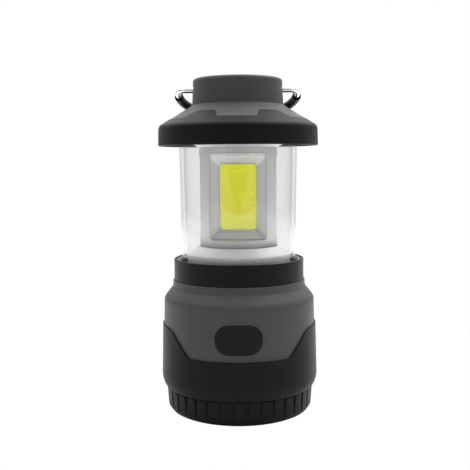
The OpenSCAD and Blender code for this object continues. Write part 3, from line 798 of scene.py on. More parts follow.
def make_sleeve(sizes):
    """The rubber sleeve, cut back in a wide window at the front and at the back."""
    soft = sizes.edge_softness
    window_edge = [
        (0, 38.2),
        (28.9, 38.2, 3.0),
        (38.9, 51.7, 2.2),
        (42.0, SLEEVE_TOP - 0.25, 3.0),
        (45.4, SLEEVE_TOP),
    ]
    chord = fill_in(fillet(window_edge, turn=6), 1.0)
    path = [(math.degrees(math.asin(x / (SLEEVE_R - 1.0))), z) for x, z in chord]
    path += [(a, SLEEVE_TOP) for a in range(82, 91, 2)]
    loop = quarter_loop(path)
    skin = [
        (SLEEVE_R - 2.2, SLEEVE_FOOT),
        (SLEEVE_R - 1.0, SLEEVE_FOOT + 2.2),
        (SLEEVE_R - 0.2, SLEEVE_FOOT + 4.7),
        (SLEEVE_R, SLEEVE_FOOT + 7.2),
        (SLEEVE_R - 0.75, SLEEVE_TOP),
    ]
    wall = [(WALL_R - 1.3, SLEEVE_FOOT), (WALL_R, SLEEVE_FOOT + 4.7), (WALL_R, SLEEVE_TOP)]

    def skin_at(z):
        return on_line(skin, z)

    def wall_at(z):
        return on_line(wall, z) - 0.04

    def edge_at(z, share):
        if share is None:
            return wall_at(z)
        return max(wall_at(z) + 0.05, skin_at(z) - soft * (1 - share))

    edge = edge_rows(loop, SLEEVE_R - 1, -1, soft)
    rows = [[round_axis(edge_at(z, share), a, z) for a, z, share in row] for row in edge]
    # Below this height the rows are level.
    level = 36.0
    for k in range(1, 13):
        sunk = [(a, z + (level - z) * k / 12) for a, z, _ in edge[-1]]
        rows.append([round_axis(skin_at(z), a, z) for a, z in sunk])
    foot = fillet([(r, z, 2.5) for r, z in skin[:4]] + [(skin_at(level), level)])
    around = list(reversed(foot[:-1]))
    around += [(skin[0][0] - 0.25, SLEEVE_FOOT), (wall_at(SLEEVE_FOOT), SLEEVE_FOOT)]
    around += [(wall_at(z), z) for z in (SLEEVE_FOOT + 4.7, 28.0, level)]
    azimuths = [a for a, _, _ in edge[-1]]
    rows += [[round_axis(r, a, z) for a in azimuths] for r, z in around]
    solid = Solid()
    solid.loft(rows, loop=True)
    finish = finishes()["black_rubber"]
    return solid.build("sleeve", finish, "lantern", ["base_sleeve"])


def repeat(part, name, wanted, layout):
    """Repeats a part with a node tree, and turns the result into a plain mesh.

    wanted holds the tree's named inputs. layout adds the nodes that place the copies, and gives
    the socket with their points and the one with their turns, or None.
    """
    tree = bpy.data.node_groups.new(name, "GeometryNodeTree")
    face = tree.interface
    face.new_socket("Geometry", in_out="INPUT", socket_type="NodeSocketGeometry")
    sockets = {}
    for label, value in wanted.items():
        kind = "NodeSocketInt" if isinstance(value, int) else "NodeSocketFloat"
        sockets[label] = face.new_socket(label, in_out="INPUT", socket_type=kind)
    finish = face.new_socket("Finish", in_out="INPUT", socket_type="NodeSocketMaterial")
    face.new_socket("Geometry", in_out="OUTPUT", socket_type="NodeSocketGeometry")
    make, link = tree.nodes.new, tree.links.new
    given, result = make("NodeGroupInput"), make("NodeGroupOutput")
    copies, real = make("GeometryNodeInstanceOnPoints"), make("GeometryNodeRealizeInstances")
    painted = make("GeometryNodeSetMaterial")
    points, turns = layout(make, link, given.outputs)
    link(points, copies.inputs["Points"])
    if turns:
        link(turns, copies.inputs["Rotation"])
    link(given.outputs["Geometry"], copies.inputs["Instance"])
    link(copies.outputs[0], real.inputs[0])
    link(real.outputs[0], painted.inputs["Geometry"])
    link(given.outputs["Finish"], painted.inputs["Material"])
    link(painted.outputs[0], result.inputs[0])
    modifier = part.modifiers.new(name, "NODES")
    modifier.node_group = tree
    for label, value in wanted.items():
        modifier[sockets[label].identifier] = value
    modifier[finish.identifier] = part.data.materials[0]
    return settle(part)


def repeat_round(part, name, count, first, step):
    """Repeats a part round the axis, from a first turn and by a step, both in radians."""

    def layout(make, link, given):
        points, index = make("GeometryNodePoints"), make("GeometryNodeInputIndex")
        angle, turn = make("ShaderNodeMath"), make("ShaderNodeCombineXYZ")
        angle.operation = "MULTIPLY_ADD"
        link(given["Count"], points.inputs["Count"])
        link(index.outputs[0], angle.inputs[0])
        link(given["Step"], angle.inputs[1])
        link(given["First turn"], angle.inputs[2])
        link(angle.outputs[0], turn.inputs["Z"])
        return points.outputs[0], turn.outputs[0]

    return repeat(part, name, {"Count": count, "First turn": first, "Step": step}, layout)


def repeat_grid(part, name, across, up, pitch_x, pitch_z):
    """Repeats a part in an upright grid round its own place, at pitches in metres."""

    def layout(make, link, given):
        grid, upright = make("GeometryNodeMeshGrid"), make("GeometryNodeTransform")
        link(given["Across"], grid.inputs["Vertices X"])
        link(given["Up"], grid.inputs["Vertices Y"])
        link(given["Width"], grid.inputs["Size X"])
        link(given["Height"], grid.inputs["Size Y"])
        upright.inputs["Rotation"].default_value = (math.pi / 2, 0.0, 0.0)
        link(grid.outputs[0], upright.inputs["Geometry"])
        return upright.outputs[0], None

    size = {"Width": pitch_x * (across - 1), "Height": pitch_z * (up - 1)}
    return repeat(part, name, {"Across": across, "Up": up, **size}, layout)


def settle(obj):
    """Turns an object's evaluated shape into its plain mesh and removes its modifiers."""
    bpy.context.view_layer.update()
    seen = obj.evaluated_get(bpy.context.evaluated_depsgraph_get())
    mesh = bpy.data.meshes.new_from_object(seen)
    obj.modifiers.clear()
    obj.data = mesh
    return obj


def loose_part(name, solid, finish):
    """A mesh object that isn't a piece yet, for a node tree to repeat."""
    obj = add_object(name, solid.mesh(name))
    paint(obj.data, finish)
    return obj


def absorb(obj, other):
    """Adds another object's mesh to a piece's and removes the other object."""
    work = bmesh.new()
    work.from_mesh(obj.data)
    work.from_mesh(other.data)
    work.to_mesh(obj.data)
    work.free()
    bpy.data.objects.remove(other)


def make_cap(sizes):
    """The screw cap: a plain cup with a foot ring, and grip ribs round it."""
    finish = finishes()["black_plastic"]
    floor_r = CAP_R - sizes.groove_depth
    cup_inside, cup_floor = 42.1, 2.4
    cup = [
        (0, 0.8), (29.4, 0.8, 0.4), (30.0, 0.0, 0.3), (40.2, 0.0, 0.9), (42.0, 0.9, 0.9),
        (43.2, 2.6, 0.9), (floor_r, 3.6, 0.6), (floor_r, CAP_TOP - 0.1, 0.15),
        (floor_r - 0.3, CAP_TOP, 0.1), (cup_inside, CAP_TOP, 0.2),
        (cup_inside, cup_floor, 0.6), (0, cup_floor),
    ]
    solid = Solid()
    solid.turn(fillet(cup), 216, loop=False)
    boss = [(1.35, 1.4), (3.0, 1.4), (3.0, 5.3, 0.2), (1.35, 5.3, 0.2)]
    solid.turn(fillet(boss, closed=True), 48)
    helix(solid, 42.3, 41.0, 4.6)
    cap = solid.build("screw_cap", finish, "battery_cap", ["battery_cap"])

    rib = Solid()
    half = math.pi * CAP_R / sizes.rib_count - sizes.groove_width / 2
    face = [(43.2, 2.6), (43.75, 3.6), (44.45, 13.0), (CAP_R, 14.6)]
    levels = [(z, 0) for z in (3.0, 3.6, 4.6, 9.0, 13.0, 14.55)]
    levels += [(14.75, 0.05), (14.9, 0.16), (CAP_TOP, 0.42)]
    rows = []
    for z, sunk in levels:
        r = on_line(face, z) - sunk
        soft = min(0.28, max(0.02, 0.6 * (r - floor_r)))
        w = half - 0.3 * sunk
        section = [(-w, floor_r - 0.3), (-w, r - soft)]
        for a in (0.4, 0.8, 1.2, math.pi / 2):
            section.append((-w + soft * (1 - math.cos(a)), r - soft * (1 - math.sin(a))))
        section += [(-w + 1.3, r), (0, r)]
        section += [(-x, y) for x, y in reversed(section[:-1])]
        rows.append([round_axis(y, math.degrees(x / CAP_R), z) for x, y in section])
    rib.loft(rows, caps=True)
    part = loose_part("cap_ribs", rib, finish)
    step = math.tau / sizes.rib_count
    absorb(cap, repeat_round(part, "Ribs", sizes.rib_count, math.radians(1), step))
    return cap


def make_button():
    """The power button: a rubber pad with a soft edge, and a raised ring and bar on it."""
    back, soft, across, up = WALL_R - WALL_THICK - 0.3, 1.0, 28, 16
    solid = Solid()

    def row(shrink, radius, grow=0.0):
        width, height = BUTTON_W - 2 * shrink + grow, BUTTON_H - 2 * shrink + grow
        points = rim(width, height, BUTTON_CORNER - shrink + grow / 2, across, up)
        return [from_front(x, math.sqrt(radius**2 - x * x), BUTTON_Z + z) for x, z in points]

    rows = [row(0, back - 1.0, 2 * BUTTON_FLANGE), row(0, back, 2 * BUTTON_FLANGE), row(0, back)]
    for k in range(7):
        a = math.radians(15 * k)
        rows.append(row(soft * (1 - math.cos(a)), BUTTON_FACE - soft * (1 - math.sin(a))))
    for shrink in (1.2, 2.2, 3.4, 4.6, 5.8, 6.8):
        rows.append(row(shrink, BUTTON_FACE))
    rings = solid.loft(rows)
    bridge(solid, rings[-1], across, up)
    inner = solid.ring(row(0, back - 1.0, -2.0))
    solid.join(rings[0], inner)
    bridge(solid, inner, across, up)

    mark_r, bar_foot, bar_step = 4.5, -0.4, 0.45
    arc = [math.radians(a) for a in range(-232, 53, 6)]
    ridge(solid, [(mark_r * math.cos(a), mark_r * math.sin(a)) for a in arc])
    ridge(solid, [(0, bar_foot + bar_step * k) for k in range(13)])
    stem_r, stem_end, stem_root = 3.0, -39.5, -back + 0.5
    stem = [(0, stem_end), (stem_r, stem_end), (stem_r, stem_root), (0, stem_root)]
    rows = [[(r * math.cos(a), y, BUTTON_Z + r * math.sin(a)) for a in circle(24)] for r, y in stem]
    solid.loft(rows)
    finish = finishes()["button_rubber"]
    return solid.build("button_pad", finish, "power_button", ["power_button"])


def circle(count):
    """Angles round a circle, in radians."""
    return [math.tau * k / count for k in range(count)]


def bridge(solid, ring, across, up):
    """Closes a rim's inside with rows of faces from its lower to its upper side.

    Points that lie farther than round_from in front of the axis are set on the wall's round.
    """
    round_from = 40
    low, right = ring[: across + 1], ring[across : across + up + 1]
    high = list(reversed(ring[across + up : 2 * across + up + 1]))
    left = [ring[0], *reversed(ring[2 * across + up :])]
    rows = [low]
    for k in range(1, up):
        row = [left[k]]
        for c in range(1, across):
            t = k / up
            point = [a + (b - a) * t for a, b in zip(solid.points[low[c]], solid.points[high[c]])]
            if abs(point[1]) > round_from:
                r = math.hypot(*solid.points[low[across // 2]][:2])
                point[1] = -math.sqrt(r * r - point[0] ** 2)
            solid.points.append(tuple(point))
            row.append(len(solid.points) - 1)
        rows.append([*row, right[k]])
    rows.append(high)
    for a, b in zip(rows, rows[1:]):
        solid.join(a, b, closed=False)


def ridge(solid, path):
    """A low rounded line on the button's face, along (x, height) points."""
    width, high, root = 0.5, 0.34, 0.1
    rows = []
    last = len(path) - 1
    for i, (x, z) in enumerate(path):
        before, after = path[max(i - 1, 0)], path[min(i + 1, last)]
        dx, dz = after[0] - before[0], after[1] - before[1]
        length = math.hypot(dx, dz)
        nx, nz = -dz / length, dx / length
        scale = 0.3 if i in (0, last) else 0.8 if i in (1, last - 1) else 1.0
        section = []
        for k in range(9):
            a = math.pi * k / 8
            side, rise = width * scale * math.cos(a), high * scale * math.sin(a) - root
            px, pz = x + nx * side, z + nz * side
            section.append(from_front(px, math.sqrt(BUTTON_FACE**2 - px**2) + rise, BUTTON_Z + pz))
        rows.append(section)
    solid.loft(rows, caps=True)


def simple_turn(name, outline, finish, node, columns=192):
    """A piece that is one closed outline, turned."""
    solid = Solid()
    solid.turn(fillet(outline, closed=True), columns)
    return solid.build(name, finishes()[finish], "lantern", [node])


def make_collar(sizes):
    """The black collar that the globe sits in, with a rounded outer lip."""
    lip, floor, deck = CLAMP_R + 0.25, COLLAR_TOP - 4.3, COLLAR_TOP - 8
    outline = [
        (30.4, SHELL_TOP, 0.2), (COLLAR_R, SHELL_TOP, 0.25),
        (COLLAR_R, COLLAR_TOP, sizes.lip_round), (lip, COLLAR_TOP, 0.3), (lip, floor, 0.2),
        (36.0, floor, 0.2), (36.0, deck, 0.2), (8.0, deck, 0.3), (8.0, deck - 2.3, 0.3),
        (30.4, deck - 2.3, 0.3),
    ]
    return simple_turn("collar", outline, "black_plastic", "neck_collar")


def make_clamp_ring():
    """The grey ring that clamps the globe, with an index notch at the front."""
    low, high, bore = CLAMP_LOW.z, CLAMP_HIGH.z, 35.3
    outline = [
        (bore, low, 0.15), (CLAMP_R, low, 0.15), (CLAMP_R, high - 0.25, 0.3),
        (CLAMP_R - 0.5, high, 0.3), (36.0, high - 0.6, 0.4), (bore, high - 1.5, 0.3),
    ]
    notch_half, notch_slope, notch_floor = 1.15, 0.3, high - 1.0

    def notched(r, azimuth, z):
        off = abs(math.remainder(azimuth, 360)) * math.pi * CLAMP_R / 180
        deep = max(0.0, min(1.0, (notch_half - off) / notch_slope))
        return r, z - deep * max(0.0, z - notch_floor)

    solid = Solid()
    solid.turn(fillet(outline, closed=True), 720, shape=notched)
    finish = finishes()["ring_plastic"]
    return solid.build("clamp_ring", finish, "lantern", ["globe_retainer"])


def make_globe():
    """The clear globe: a tube that opens slightly upwards, with a flange at its foot."""
    low, high, wall = GLOBE_LOW.z, GLOBE_HIGH.z, 2.5
    foot, top = 34.2, 35.5
    outline = [
        (foot - wall, low, 0.3), (GLOBE_HIGH.x, low, 0.3), (GLOBE_HIGH.x, low + 1.6, 0.3),
        (foot, low + 1.6, 0.4), (top, high, 0.4), (top - wall, high, 0.4),
    ]
    return simple_turn("clear_globe", outline, "clear_plastic", "globe", 240)


def make_lower_cone():
    """The silver cone below the post, on its flange."""
    outer, flange, top = CONE_HIGH.x, CONE_LOW.z + 11.2, CONE_HIGH.z
    outline = [
        (29.6, CONE_LOW.z, 0.1), (outer - 0.2, CONE_LOW.z, 0.1), (outer - 0.2, flange - 1.6, 0.1),
        (outer, flange - 1.4, 0.1), (outer, flange, 0.5), (28.9, flange, 0.5),
        (POST_R + 0.6, top, 0.3), (POST_R + 0.1, top, 0.1), (POST_R + 0.1, top - 2.3, 0.1),
        (POST_R - 1.4, top - 2.3, 0.1), (29.6, flange - 1.6, 0.2),
    ]
    return simple_turn("lower_cone", outline, "silver_paint", "lower_reflector")


def make_upper_bell():
    """The silver bell above the post."""
    low, outer = BELL_LOW.z, BELL_HIGH.x
    outline = [
        (POST_R + 0.1, low, 0.1), (POST_R + 0.5, low, 0.1), (outer - 1.2, low + 4.6, 0.8),
        (outer, low + 5.3, 0.3), (outer, low + 6.4, 0.3), (outer - 2.2, low + 6.4, 0.3),
        (POST_R + 0.1, low + 2.4, 0.3),
    ]
    return simple_turn("upper_bell", outline, "silver_plating", "upper_reflector")


def make_post(sizes):
    """The silver post, with three windows whose flat frames lead down to the lamps."""
    # The inside's radius, and how far in front of the axis a lamp's pocket ends.
    back, pocket_end = POST_R - 1.5, 12.9
    flat = math.sqrt(POST_R**2 - (WINDOW_W / 2) ** 2)
    low, high = POST_LOW.z, POST_HIGH.z
    openings = [Opening(a, LAMP_Z, 48, WINDOW_H / 2 + 3.2, 64, 45) for a in LAMP_AZIMUTHS]
    levels = openings[0].levels()
    # A fine shadow line where the post leaves the cone.
    seam, seam_r = CONE_HIGH.z + 0.55, POST_R - 0.8
    outline = [(seam_r, low), (seam_r, seam), (POST_R - 0.1, seam), (POST_R, seam + 0.1)]
    outline += [*[(POST_R, z) for z in levels], (POST_R, high - 0.3)]
    outline += [(POST_R - 0.09, high - 0.09), (POST_R - 0.3, high), (back + 0.2, high)]
    outline += [*[(back, z) for z in reversed(levels)], (back, low)]
    bead, line = sizes.bead_width, sizes.frame_line
    line_depth = line * 0.65
    mouth_w, mouth_h = LAMP_W + 0.3, LAMP_H + 0.3
    chains = []
    for opening in openings:

        def on_wall(points, radius, at=opening):
            return [at.on_wall(x, z, radius) for x, z in points]

        def at_depth(width, height, corner, depth, at=opening):
            points = at.outline(width, height, corner)
            return [from_front(x, depth, z, at.azimuth) for x, z in points]

        def window(out, at=opening):
            return at.outline(WINDOW_W + 2 * out, WINDOW_H + 2 * out, WINDOW_CORNER + out)

        rows = between(opening.block(lambda _: POST_R), window(bead), 5, 0.8)
        rows = [on_wall(points, POST_R) for points in rows]
        rows.append(on_wall(window(bead * 1.15), POST_R))
        for k in range(8):
            a = math.pi * k / 7
            out, rise = bead * (0.5 + 0.5 * math.cos(a)), sizes.bead_height * math.sin(a)
            rows.append(on_wall(window(out), POST_R + rise))
        for depth in (flat + 0.25, flat):
            wall = on_wall(window(0), POST_R - 0.02)
            face = at_depth(WINDOW_W, WINDOW_H, WINDOW_CORNER, depth)
            rows.append([min(a, b, key=lambda p: math.hypot(*p[:2])) for a, b in zip(wall, face)])
        for inset_by, sunk in ((0.1, line_depth), (line, line_depth), (line + 0.15, 0.1)):
            width, height = WINDOW_W - 2 * inset_by, WINDOW_H - 2 * inset_by
            rows.append(at_depth(width, height, WINDOW_CORNER - inset_by, flat - sunk))
        rows.append(at_depth(mouth_w + 0.3, mouth_h + 0.3, 2.45, LAMP_FACE + 0.2))
        rows.append(at_depth(mouth_w, mouth_h, 2.3, LAMP_FACE + 0.05))
        rows.append(at_depth(mouth_w, mouth_h, 1.8, pocket_end))
        rows.append(at_depth(WINDOW_W - 2.4, WINDOW_H + 2.4, 1.2, flat - 1.9))
        inner = opening.outline(WINDOW_W - 1.6, WINDOW_H + 2.8, 1.2)
        for points in [inner, *between(inner, opening.block(lambda _: back), 3)]:
            rows.append(on_wall(points, back))
        chains.append(rows)
    solid = Solid()
    pierced_wall(solid, outline, openings, lambda _: POST_R, lambda _: back, chains)
    finish = finishes()["silver_plating"]
    return solid.build("silver_post", finish, "lantern", ["led_post"])


def lamp_row(shrink, depth):
    """The rim of the front lamp at a depth, smaller on every side by an amount."""
    corner = 2.2 - min(shrink, 1.3)
    points = rim(LAMP_W - 2 * shrink, LAMP_H - 2 * shrink, corner, 10, 18)
    return [from_front(x, depth, LAMP_Z + z) for x, z in points]


def make_gel(sizes, number):
    """A lamp's slab of gel, with low domes over its rows of chips."""
    finish, edge, face = finishes()["phosphor"], sizes.dam_width, LAMP_FACE
    solid = Solid()
    steps = [(0.3, LAMP_BACK), (0.0, LAMP_BACK + 0.2), (0.0, face - 0.3)]
    steps += [(0.1, face - 0.16), (0.3, face - 0.08), (0.8, face - 0.04)]
    rings = solid.loft([lamp_row(edge + shrink, depth) for shrink, depth in steps])
    solid.faces += [tuple(reversed(rings[0])), tuple(rings[-1])]
    name, node = f"lamp_{number}", f"led_phosphor_{number}"
    gel = solid.build(name, finish, "lantern", [node])

    dome_r, dome_rise, sunk = 1.25, 0.14, 0.06
    dome, rows = Solid(), []
    for k in range(6):
        a = math.radians(90 - 17 * k)
        r, y = dome_r * math.sin(a), -dome_rise * math.cos(a)
        rows.append([(r * math.cos(t), y, r * math.sin(t)) for t in circle(20)])
    dome.loft(rows, caps=True)
    part = loose_part(f"chip_{number}", dome, finish)
    pitch_x, pitch_z = 4.1 * MM, 6.4 * MM
    chips = repeat_grid(part, "Chips", sizes.chips_across, sizes.chips_up, pitch_x, pitch_z)
    chips.data.transform(Matrix.Translation(Vector((0, -(face - sunk), LAMP_Z)) * MM))
    absorb(gel, chips)
    return gel


def make_dam(sizes, number):
    """The round edge of pale silicone that holds a lamp's gel."""
    edge, face = sizes.dam_width, LAMP_FACE
    round_r = edge / 2
    rows = [lamp_row(0.05, LAMP_BACK), lamp_row(0.0, LAMP_BACK + 0.1)]
    rows.append(lamp_row(0.0, face - round_r))
    for k in range(1, 7):
        a = math.radians(30 * k)
        depth = face - round_r + (round_r - 0.02) * math.sin(a)
        rows.append(lamp_row(round_r * (1 - math.cos(a)), depth))
    rows.append(lamp_row(edge, LAMP_BACK))
    solid = Solid()
    solid.loft(rows, loop=True)
    return solid.build(f"lamp_dam_{number}", finishes()["dam_silicone"], "lantern")


def make_lamps(sizes):
    """Three lamps, each a slab of gel inside its dam, turned to its window."""
    lamps = []
    for number, azimuth in enumerate(LAMP_AZIMUTHS, 1):
        pair = [make_gel(sizes, number), make_dam(sizes, number)]
        for piece in pair:
            piece.data.transform(Matrix.Rotation(math.radians(azimuth), 4, "Z"))
        lamps += pair
    return lamps


def make_head(sizes):
    """The grey head: a skirt, a cone and a neck with the bail's two holes."""
    foot, skirt_r, inner_r, lining = BRIM_FOOT + 0.8, 46.05, NECK_R - 2.7, 3.2

    def outer_at(z):
        return NECK_R - 0.5 * (z - CONE_TOP - 0.7) / 12.3

    openings = [Opening(side, HINGE_Z, 6, 2.7, 8, 8) for side in (90, 270)]
    levels = openings[0].levels()
    outline = [(45.0, foot, 0.2), (skirt_r, foot, 0.2), (skirt_r, cone_z(skirt_r) - STEP, 3.0)]
    outline += [(NECK_R + 0.1, cone_z(NECK_R) - STEP, 1.0), (NECK_R, CONE_TOP + 1.2)]
    outline += [(outer_at(z), z) for z in levels]
    outline += [(NECK_R - 0.6, TOTAL_H - 0.5, 2.4), (18.0, TOTAL_H - 0.1, 2), (0, TOTAL_H)]
    outline += [(0, TOTAL_H - 2.6), (inner_r, TOTAL_H - 2.8, 0.4)]
    outline += [(inner_r, z) for z in reversed(levels)]
    outline += [(r, cone_z(r) - lining, 1) for r in (inner_r, 43.0)]
    outline += [(45.0, foot + 7.7, 1)]
    d, walls = sizes.pin_hole, (outer_at, lambda _: inner_r)
    chains = [hole_rows(opening, d, d, d / 2, *walls, 0.2) for opening in openings]
    solid = Solid()
    pierced_wall(solid, fillet(outline, closed=True), openings, *walls, chains)
    finish = finishes()["grey_plastic"]
    return solid.build("head_top", finish, "lantern", ["head_shell"])


def make_brim(sizes):
    """The rubber round the head's foot, cut back between four tabs."""
    edge_r, tab_r, soft = 40.8, 34.5, sizes.edge_softness

    def at(r, azimuth, corner=0.0):
        a = math.radians(azimuth)
        return (r * math.sin(a), r * math.cos(a), corner)

    corners = [at(edge_r, a) for a in range(0, 12, 2)]
    corners += [at(edge_r, 15.9, 1.2), at(tab_r, 20.8, 1.6)]
    corners += [at(tab_r, a) for a in range(25, 38, 2)]
    corners += [at(tab_r, 40.0, 1.6), at(edge_r, 47.5, 1.2)]
    corners += [at(edge_r, a) for a in range(52, 91, 2)]
    corners = fill_in(fillet(corners, turn=12), 1.3)
    loop = quarter_loop([(math.degrees(math.atan2(p.x, p.y)), p.length) for p in corners])

    def top(r):
        return cone_z(r) + STEP

    def under(r):
        return cone_z(r) - STEP - 0.03

    def edge_at(r, share):
        if share is None:
            return under(r)
        return under(r) + 0.05 + (top(r) - under(r) - 0.05) * share

    edge = edge_rows(loop, 38, 1, soft)
    rows = [[round_axis(r, a, edge_at(r, share)) for a, r, share in row] for row in edge]
    # Outside this radius the rows are round.
    fixed, inside, round_r = 42.4, 46.1, 3.6

    def outwards(k, height_at):
        moved = [(r + (fixed - r) * k / 8, a) for a, r, _ in edge[-1]]
        return [round_axis(r, a, height_at(r)) for r, a in moved]

    rows += [outwards(k, top) for k in range(1, 9)]
    shoulder = BRIM_R - 0.3 - round_r
    turn = math.radians(90 - math.degrees(CONE_SLOPE))
    end = shoulder + round_r * math.cos(turn)
    centre_z = top(end) - round_r * math.sin(turn)
    side = [(end - 0.4, top(end - 0.4))]
    for k in range(9):
        a = turn * (1 - k / 8)
        side.append((shoulder + round_r * math.cos(a), centre_z + round_r * math.sin(a)))
    foot = [side[-1], (BRIM_R, BRIM_FOOT, 0.7), (inside, BRIM_FOOT, 0.2)]
    foot += [(inside, cone_z(inside) - STEP, 3.0), (fixed, under(fixed))]
    side += fillet(foot)[1:]
    rows += [[round_axis(r, a, z) for a, _, _ in edge[-1]] for r, z in side]
    rows += [outwards(k, under) for k in range(7, 0, -1)]
    solid = Solid()
    solid.loft(rows, loop=True)
    finish = finishes()["black_rubber"]
    return solid.build("brim_rubber", finish, "lantern", ["head_brim"])


def make_brim_screws():
    """Three pan-head screws under the brim, with a crosshead recess."""
    finish = finishes()["steel"]
    low, ring, columns, arm_tip, arm_root = BRIM_FOOT + 0.4, 41.3, 32, 1.15, 0.42
    profile = [(1.45, 9.0), (1.45, 1.6), (2.8, 1.6), (2.8, 0.6), (2.3, 0.15), (1.5, 0)]
    rows = [[(r, z)] * columns for r, z in profile]
    arms = [arm_tip if k % 8 in (0, 1, 7) else arm_root for k in range(columns)]
    rows += [[(arm * scale, z) for arm in arms] for scale, z in ((1.0, 0.02), (0.7, 0.9))]
    solid = Solid()
    solid.loft(
        [
            [
                (r * math.cos(a), r * math.sin(a) - ring, low + z)
                for a, (r, z) in zip(circle(columns), row)
            ]
            for row in rows
        ],
        caps=True,
    )
    part = loose_part("brim_screw", solid, finish)
    screws = repeat_round(part, "Screws", 3, math.pi, math.tau / 3)
    screws.name = screws.data.name = "brim_fixings"
    smooth(screws.data)
    return fit(screws, finish, "lantern", ["brim_screws"])


def bail_point(x, y, rise):
    """A point of the bail, drawn flat from its hinge, at its folded rest."""
    c, s = math.cos(BAIL_REST), math.sin(BAIL_REST)
    return x, y * c - rise * s, HINGE_Z + y * s + rise * c


def bail_row(x, y, along_x, along_y, radius):
    """A circle round the bail's line, which runs along a direction there."""
    rows = []
    for a in circle(28):
        side = radius * math.cos(a)
        rows.append(bail_point(x - along_y * side, y + along_x * side, radius * math.sin(a)))
    return rows


def bail_stop(a):
    """The point and the direction of the bail's round end at an angle."""
    c, s = math.cos(a), math.sin(a)
    return BAIL_R * c, BAIL_LEG + BAIL_R * s, -s, c


def make_bail_wire():
    """The wire bail: two pins, two elbows and a round end."""
    bend, pin_end, tips, steps = 4.5, 21.2, (0.9, 1.4), 96
    stops = [(pin_end + 0.3, 0.0, 1.0, 0.0)]
    stops += [(pin_end + k, 0.0, 1.0, 0.0) for k in (2, 6, 9.5)]
    for k in range(13):
        a = math.pi / 2 * k / 12
        c, s = math.cos(a), math.sin(a)
        stops.append((BAIL_R - bend + bend * s, bend - bend * c, c, s))
    stops.append((BAIL_R, BAIL_LEG - 0.6, 0.0, 1.0))
    other = [(-x, y, tx, -ty) for x, y, tx, ty in reversed(stops)]
    stops += [bail_stop(math.pi * k / steps) for k in range(steps + 1)] + other
    rows = [bail_row(pin_end, 0.0, 1.0, 0.0, r) for r in tips]
    rows += [bail_row(*stop, WIRE_R) for stop in stops]
    rows += [bail_row(-pin_end, 0.0, 1.0, 0.0, r) for r in reversed(tips)]
    solid = Solid()
    solid.loft(rows, caps=True)
    finish = finishes()["chrome_wire"]
    return solid.build("bail_wire", finish, "handle", ["handle_wire"])


def make_bail_grip():
    """The rubber tube over the bail's round end, open at both mouths."""
    outer, bore, mouth = 2.7, 1.76, 4.0
    # Each stop is (angle in degrees, radius of the tube).
    stops = [(mouth, bore + 0.12), (mouth, bore + 0.4), (mouth + 0.08, outer - 0.25)]
    stops += [(mouth + 0.3, outer - 0.06), (mouth + 0.6, outer)]
    stops += [(mouth + 1.2 + (90 - mouth - 1.2) * k / 44, outer) for k in range(44)]
    stops += [(90, outer)] + [(180 - a, r) for a, r in reversed(stops)]
    deep = [mouth + 0.15, mouth + 4, *range(12, 172, 4), 172, 180 - mouth - 0.15]
    stops += [(a, bore) for a in reversed(deep)]
    solid = Solid()
    solid.loft([bail_row(*bail_stop(math.radians(a)), r) for a, r in stops], loop=True)
    finish = finishes()["grip_rubber"]
    return solid.build("bail_grip", finish, "handle", ["handle_grip"])


def dress_the_rest():
    """Gives every node of the frame that is still there the finish of its slot."""
    for part in frame["record"]["subparts"]:
        obj = frame["nodes"].get(part["node"])
        if obj and obj.name in bpy.data.objects:
            paint(obj.data, finishes()[part["material_slot"]])
            smooth(obj.data)


# ---- Stage ----


def make_floor():
    """A white floor, which the camera sees as bright as the background."""
    mesh, half = bpy.data.meshes.new("floor"), 1.2
    corners = [(-half, -half, 0), (half, -half, 0), (half, half, 0), (-half, half, 0)]
    mesh.from_pydata(corners, [], [(0, 1, 2, 3)])
    material, sheet = new_sheet("Floor_white")
    paper = {"Base Color": (0.8, 0.8, 0.8, 1), "Roughness": 0.7, "Specular IOR Level": 0.1}
    matt = sheet.add("ShaderNodeBsdfPrincipled", None, paper)
    bright = sheet.add("ShaderNodeEmission", None, {"Color": (1, 1, 1, 1), "Strength": 1.0})
    seen = sheet.add("ShaderNodeLightPath", out="Is Camera Ray")
    sheet.finish(sheet.add("ShaderNodeMixShader", None, {0: seen, 1: matt, 2: bright}))
    mesh.materials.append(material)
    add_object("floor", mesh)


def make_world():
    """A white background, and light whose strength depends on where it comes from."""
    world = bpy.data.worlds.new("Studio")
    bpy.context.scene.world = world
    sheet = Sheet(world)
    way = sheet.add("ShaderNodeTexCoord", out="Generated")
    parts = sheet.add("ShaderNodeSeparateXYZ", None, {0: way})
    x, y, z = (Value(sheet, socket) for socket in parts.socket.node.outputs)
    # A dark gap between the walls in front, which widens upwards and ends below the ceiling.
    reach = ((z + 0.1) * 14.0).within(0.0, 1.0).power(0.6) * 0.40
    gap = (1 - (x.size() + y * reach).rise(-0.02, 0.02)) * (-y).rise(0.0, 0.1)
    gap = gap * (1 - z.rise(0.3, 0.6))
    # Walls all round, light above them that is strongest behind and to the right, and a ceiling.
    low, high = 1 - z.rise(0.2, 0.45), z.rise(0.65, 0.85)
    walls = low * (y.rise(0.2, 0.9) * 0.2 + 0.6) * (1 - gap * 0.92)
    behind = y.rise(0.0, 0.7) * 2.3 + (y + 1) * (x + 1) * 0.25
    light = walls + (1 - low) * (1 - high) * behind + high * 2.15
    seen = sheet.add("ShaderNodeLightPath", out="Is Camera Ray")
    strength = seen + (1 - seen) * light
    sky = sheet.add("ShaderNodeBackground", None, {"Color": (1, 1, 1, 1), "Strength": strength})
    sheet.finish(sky, "ShaderNodeOutputWorld")


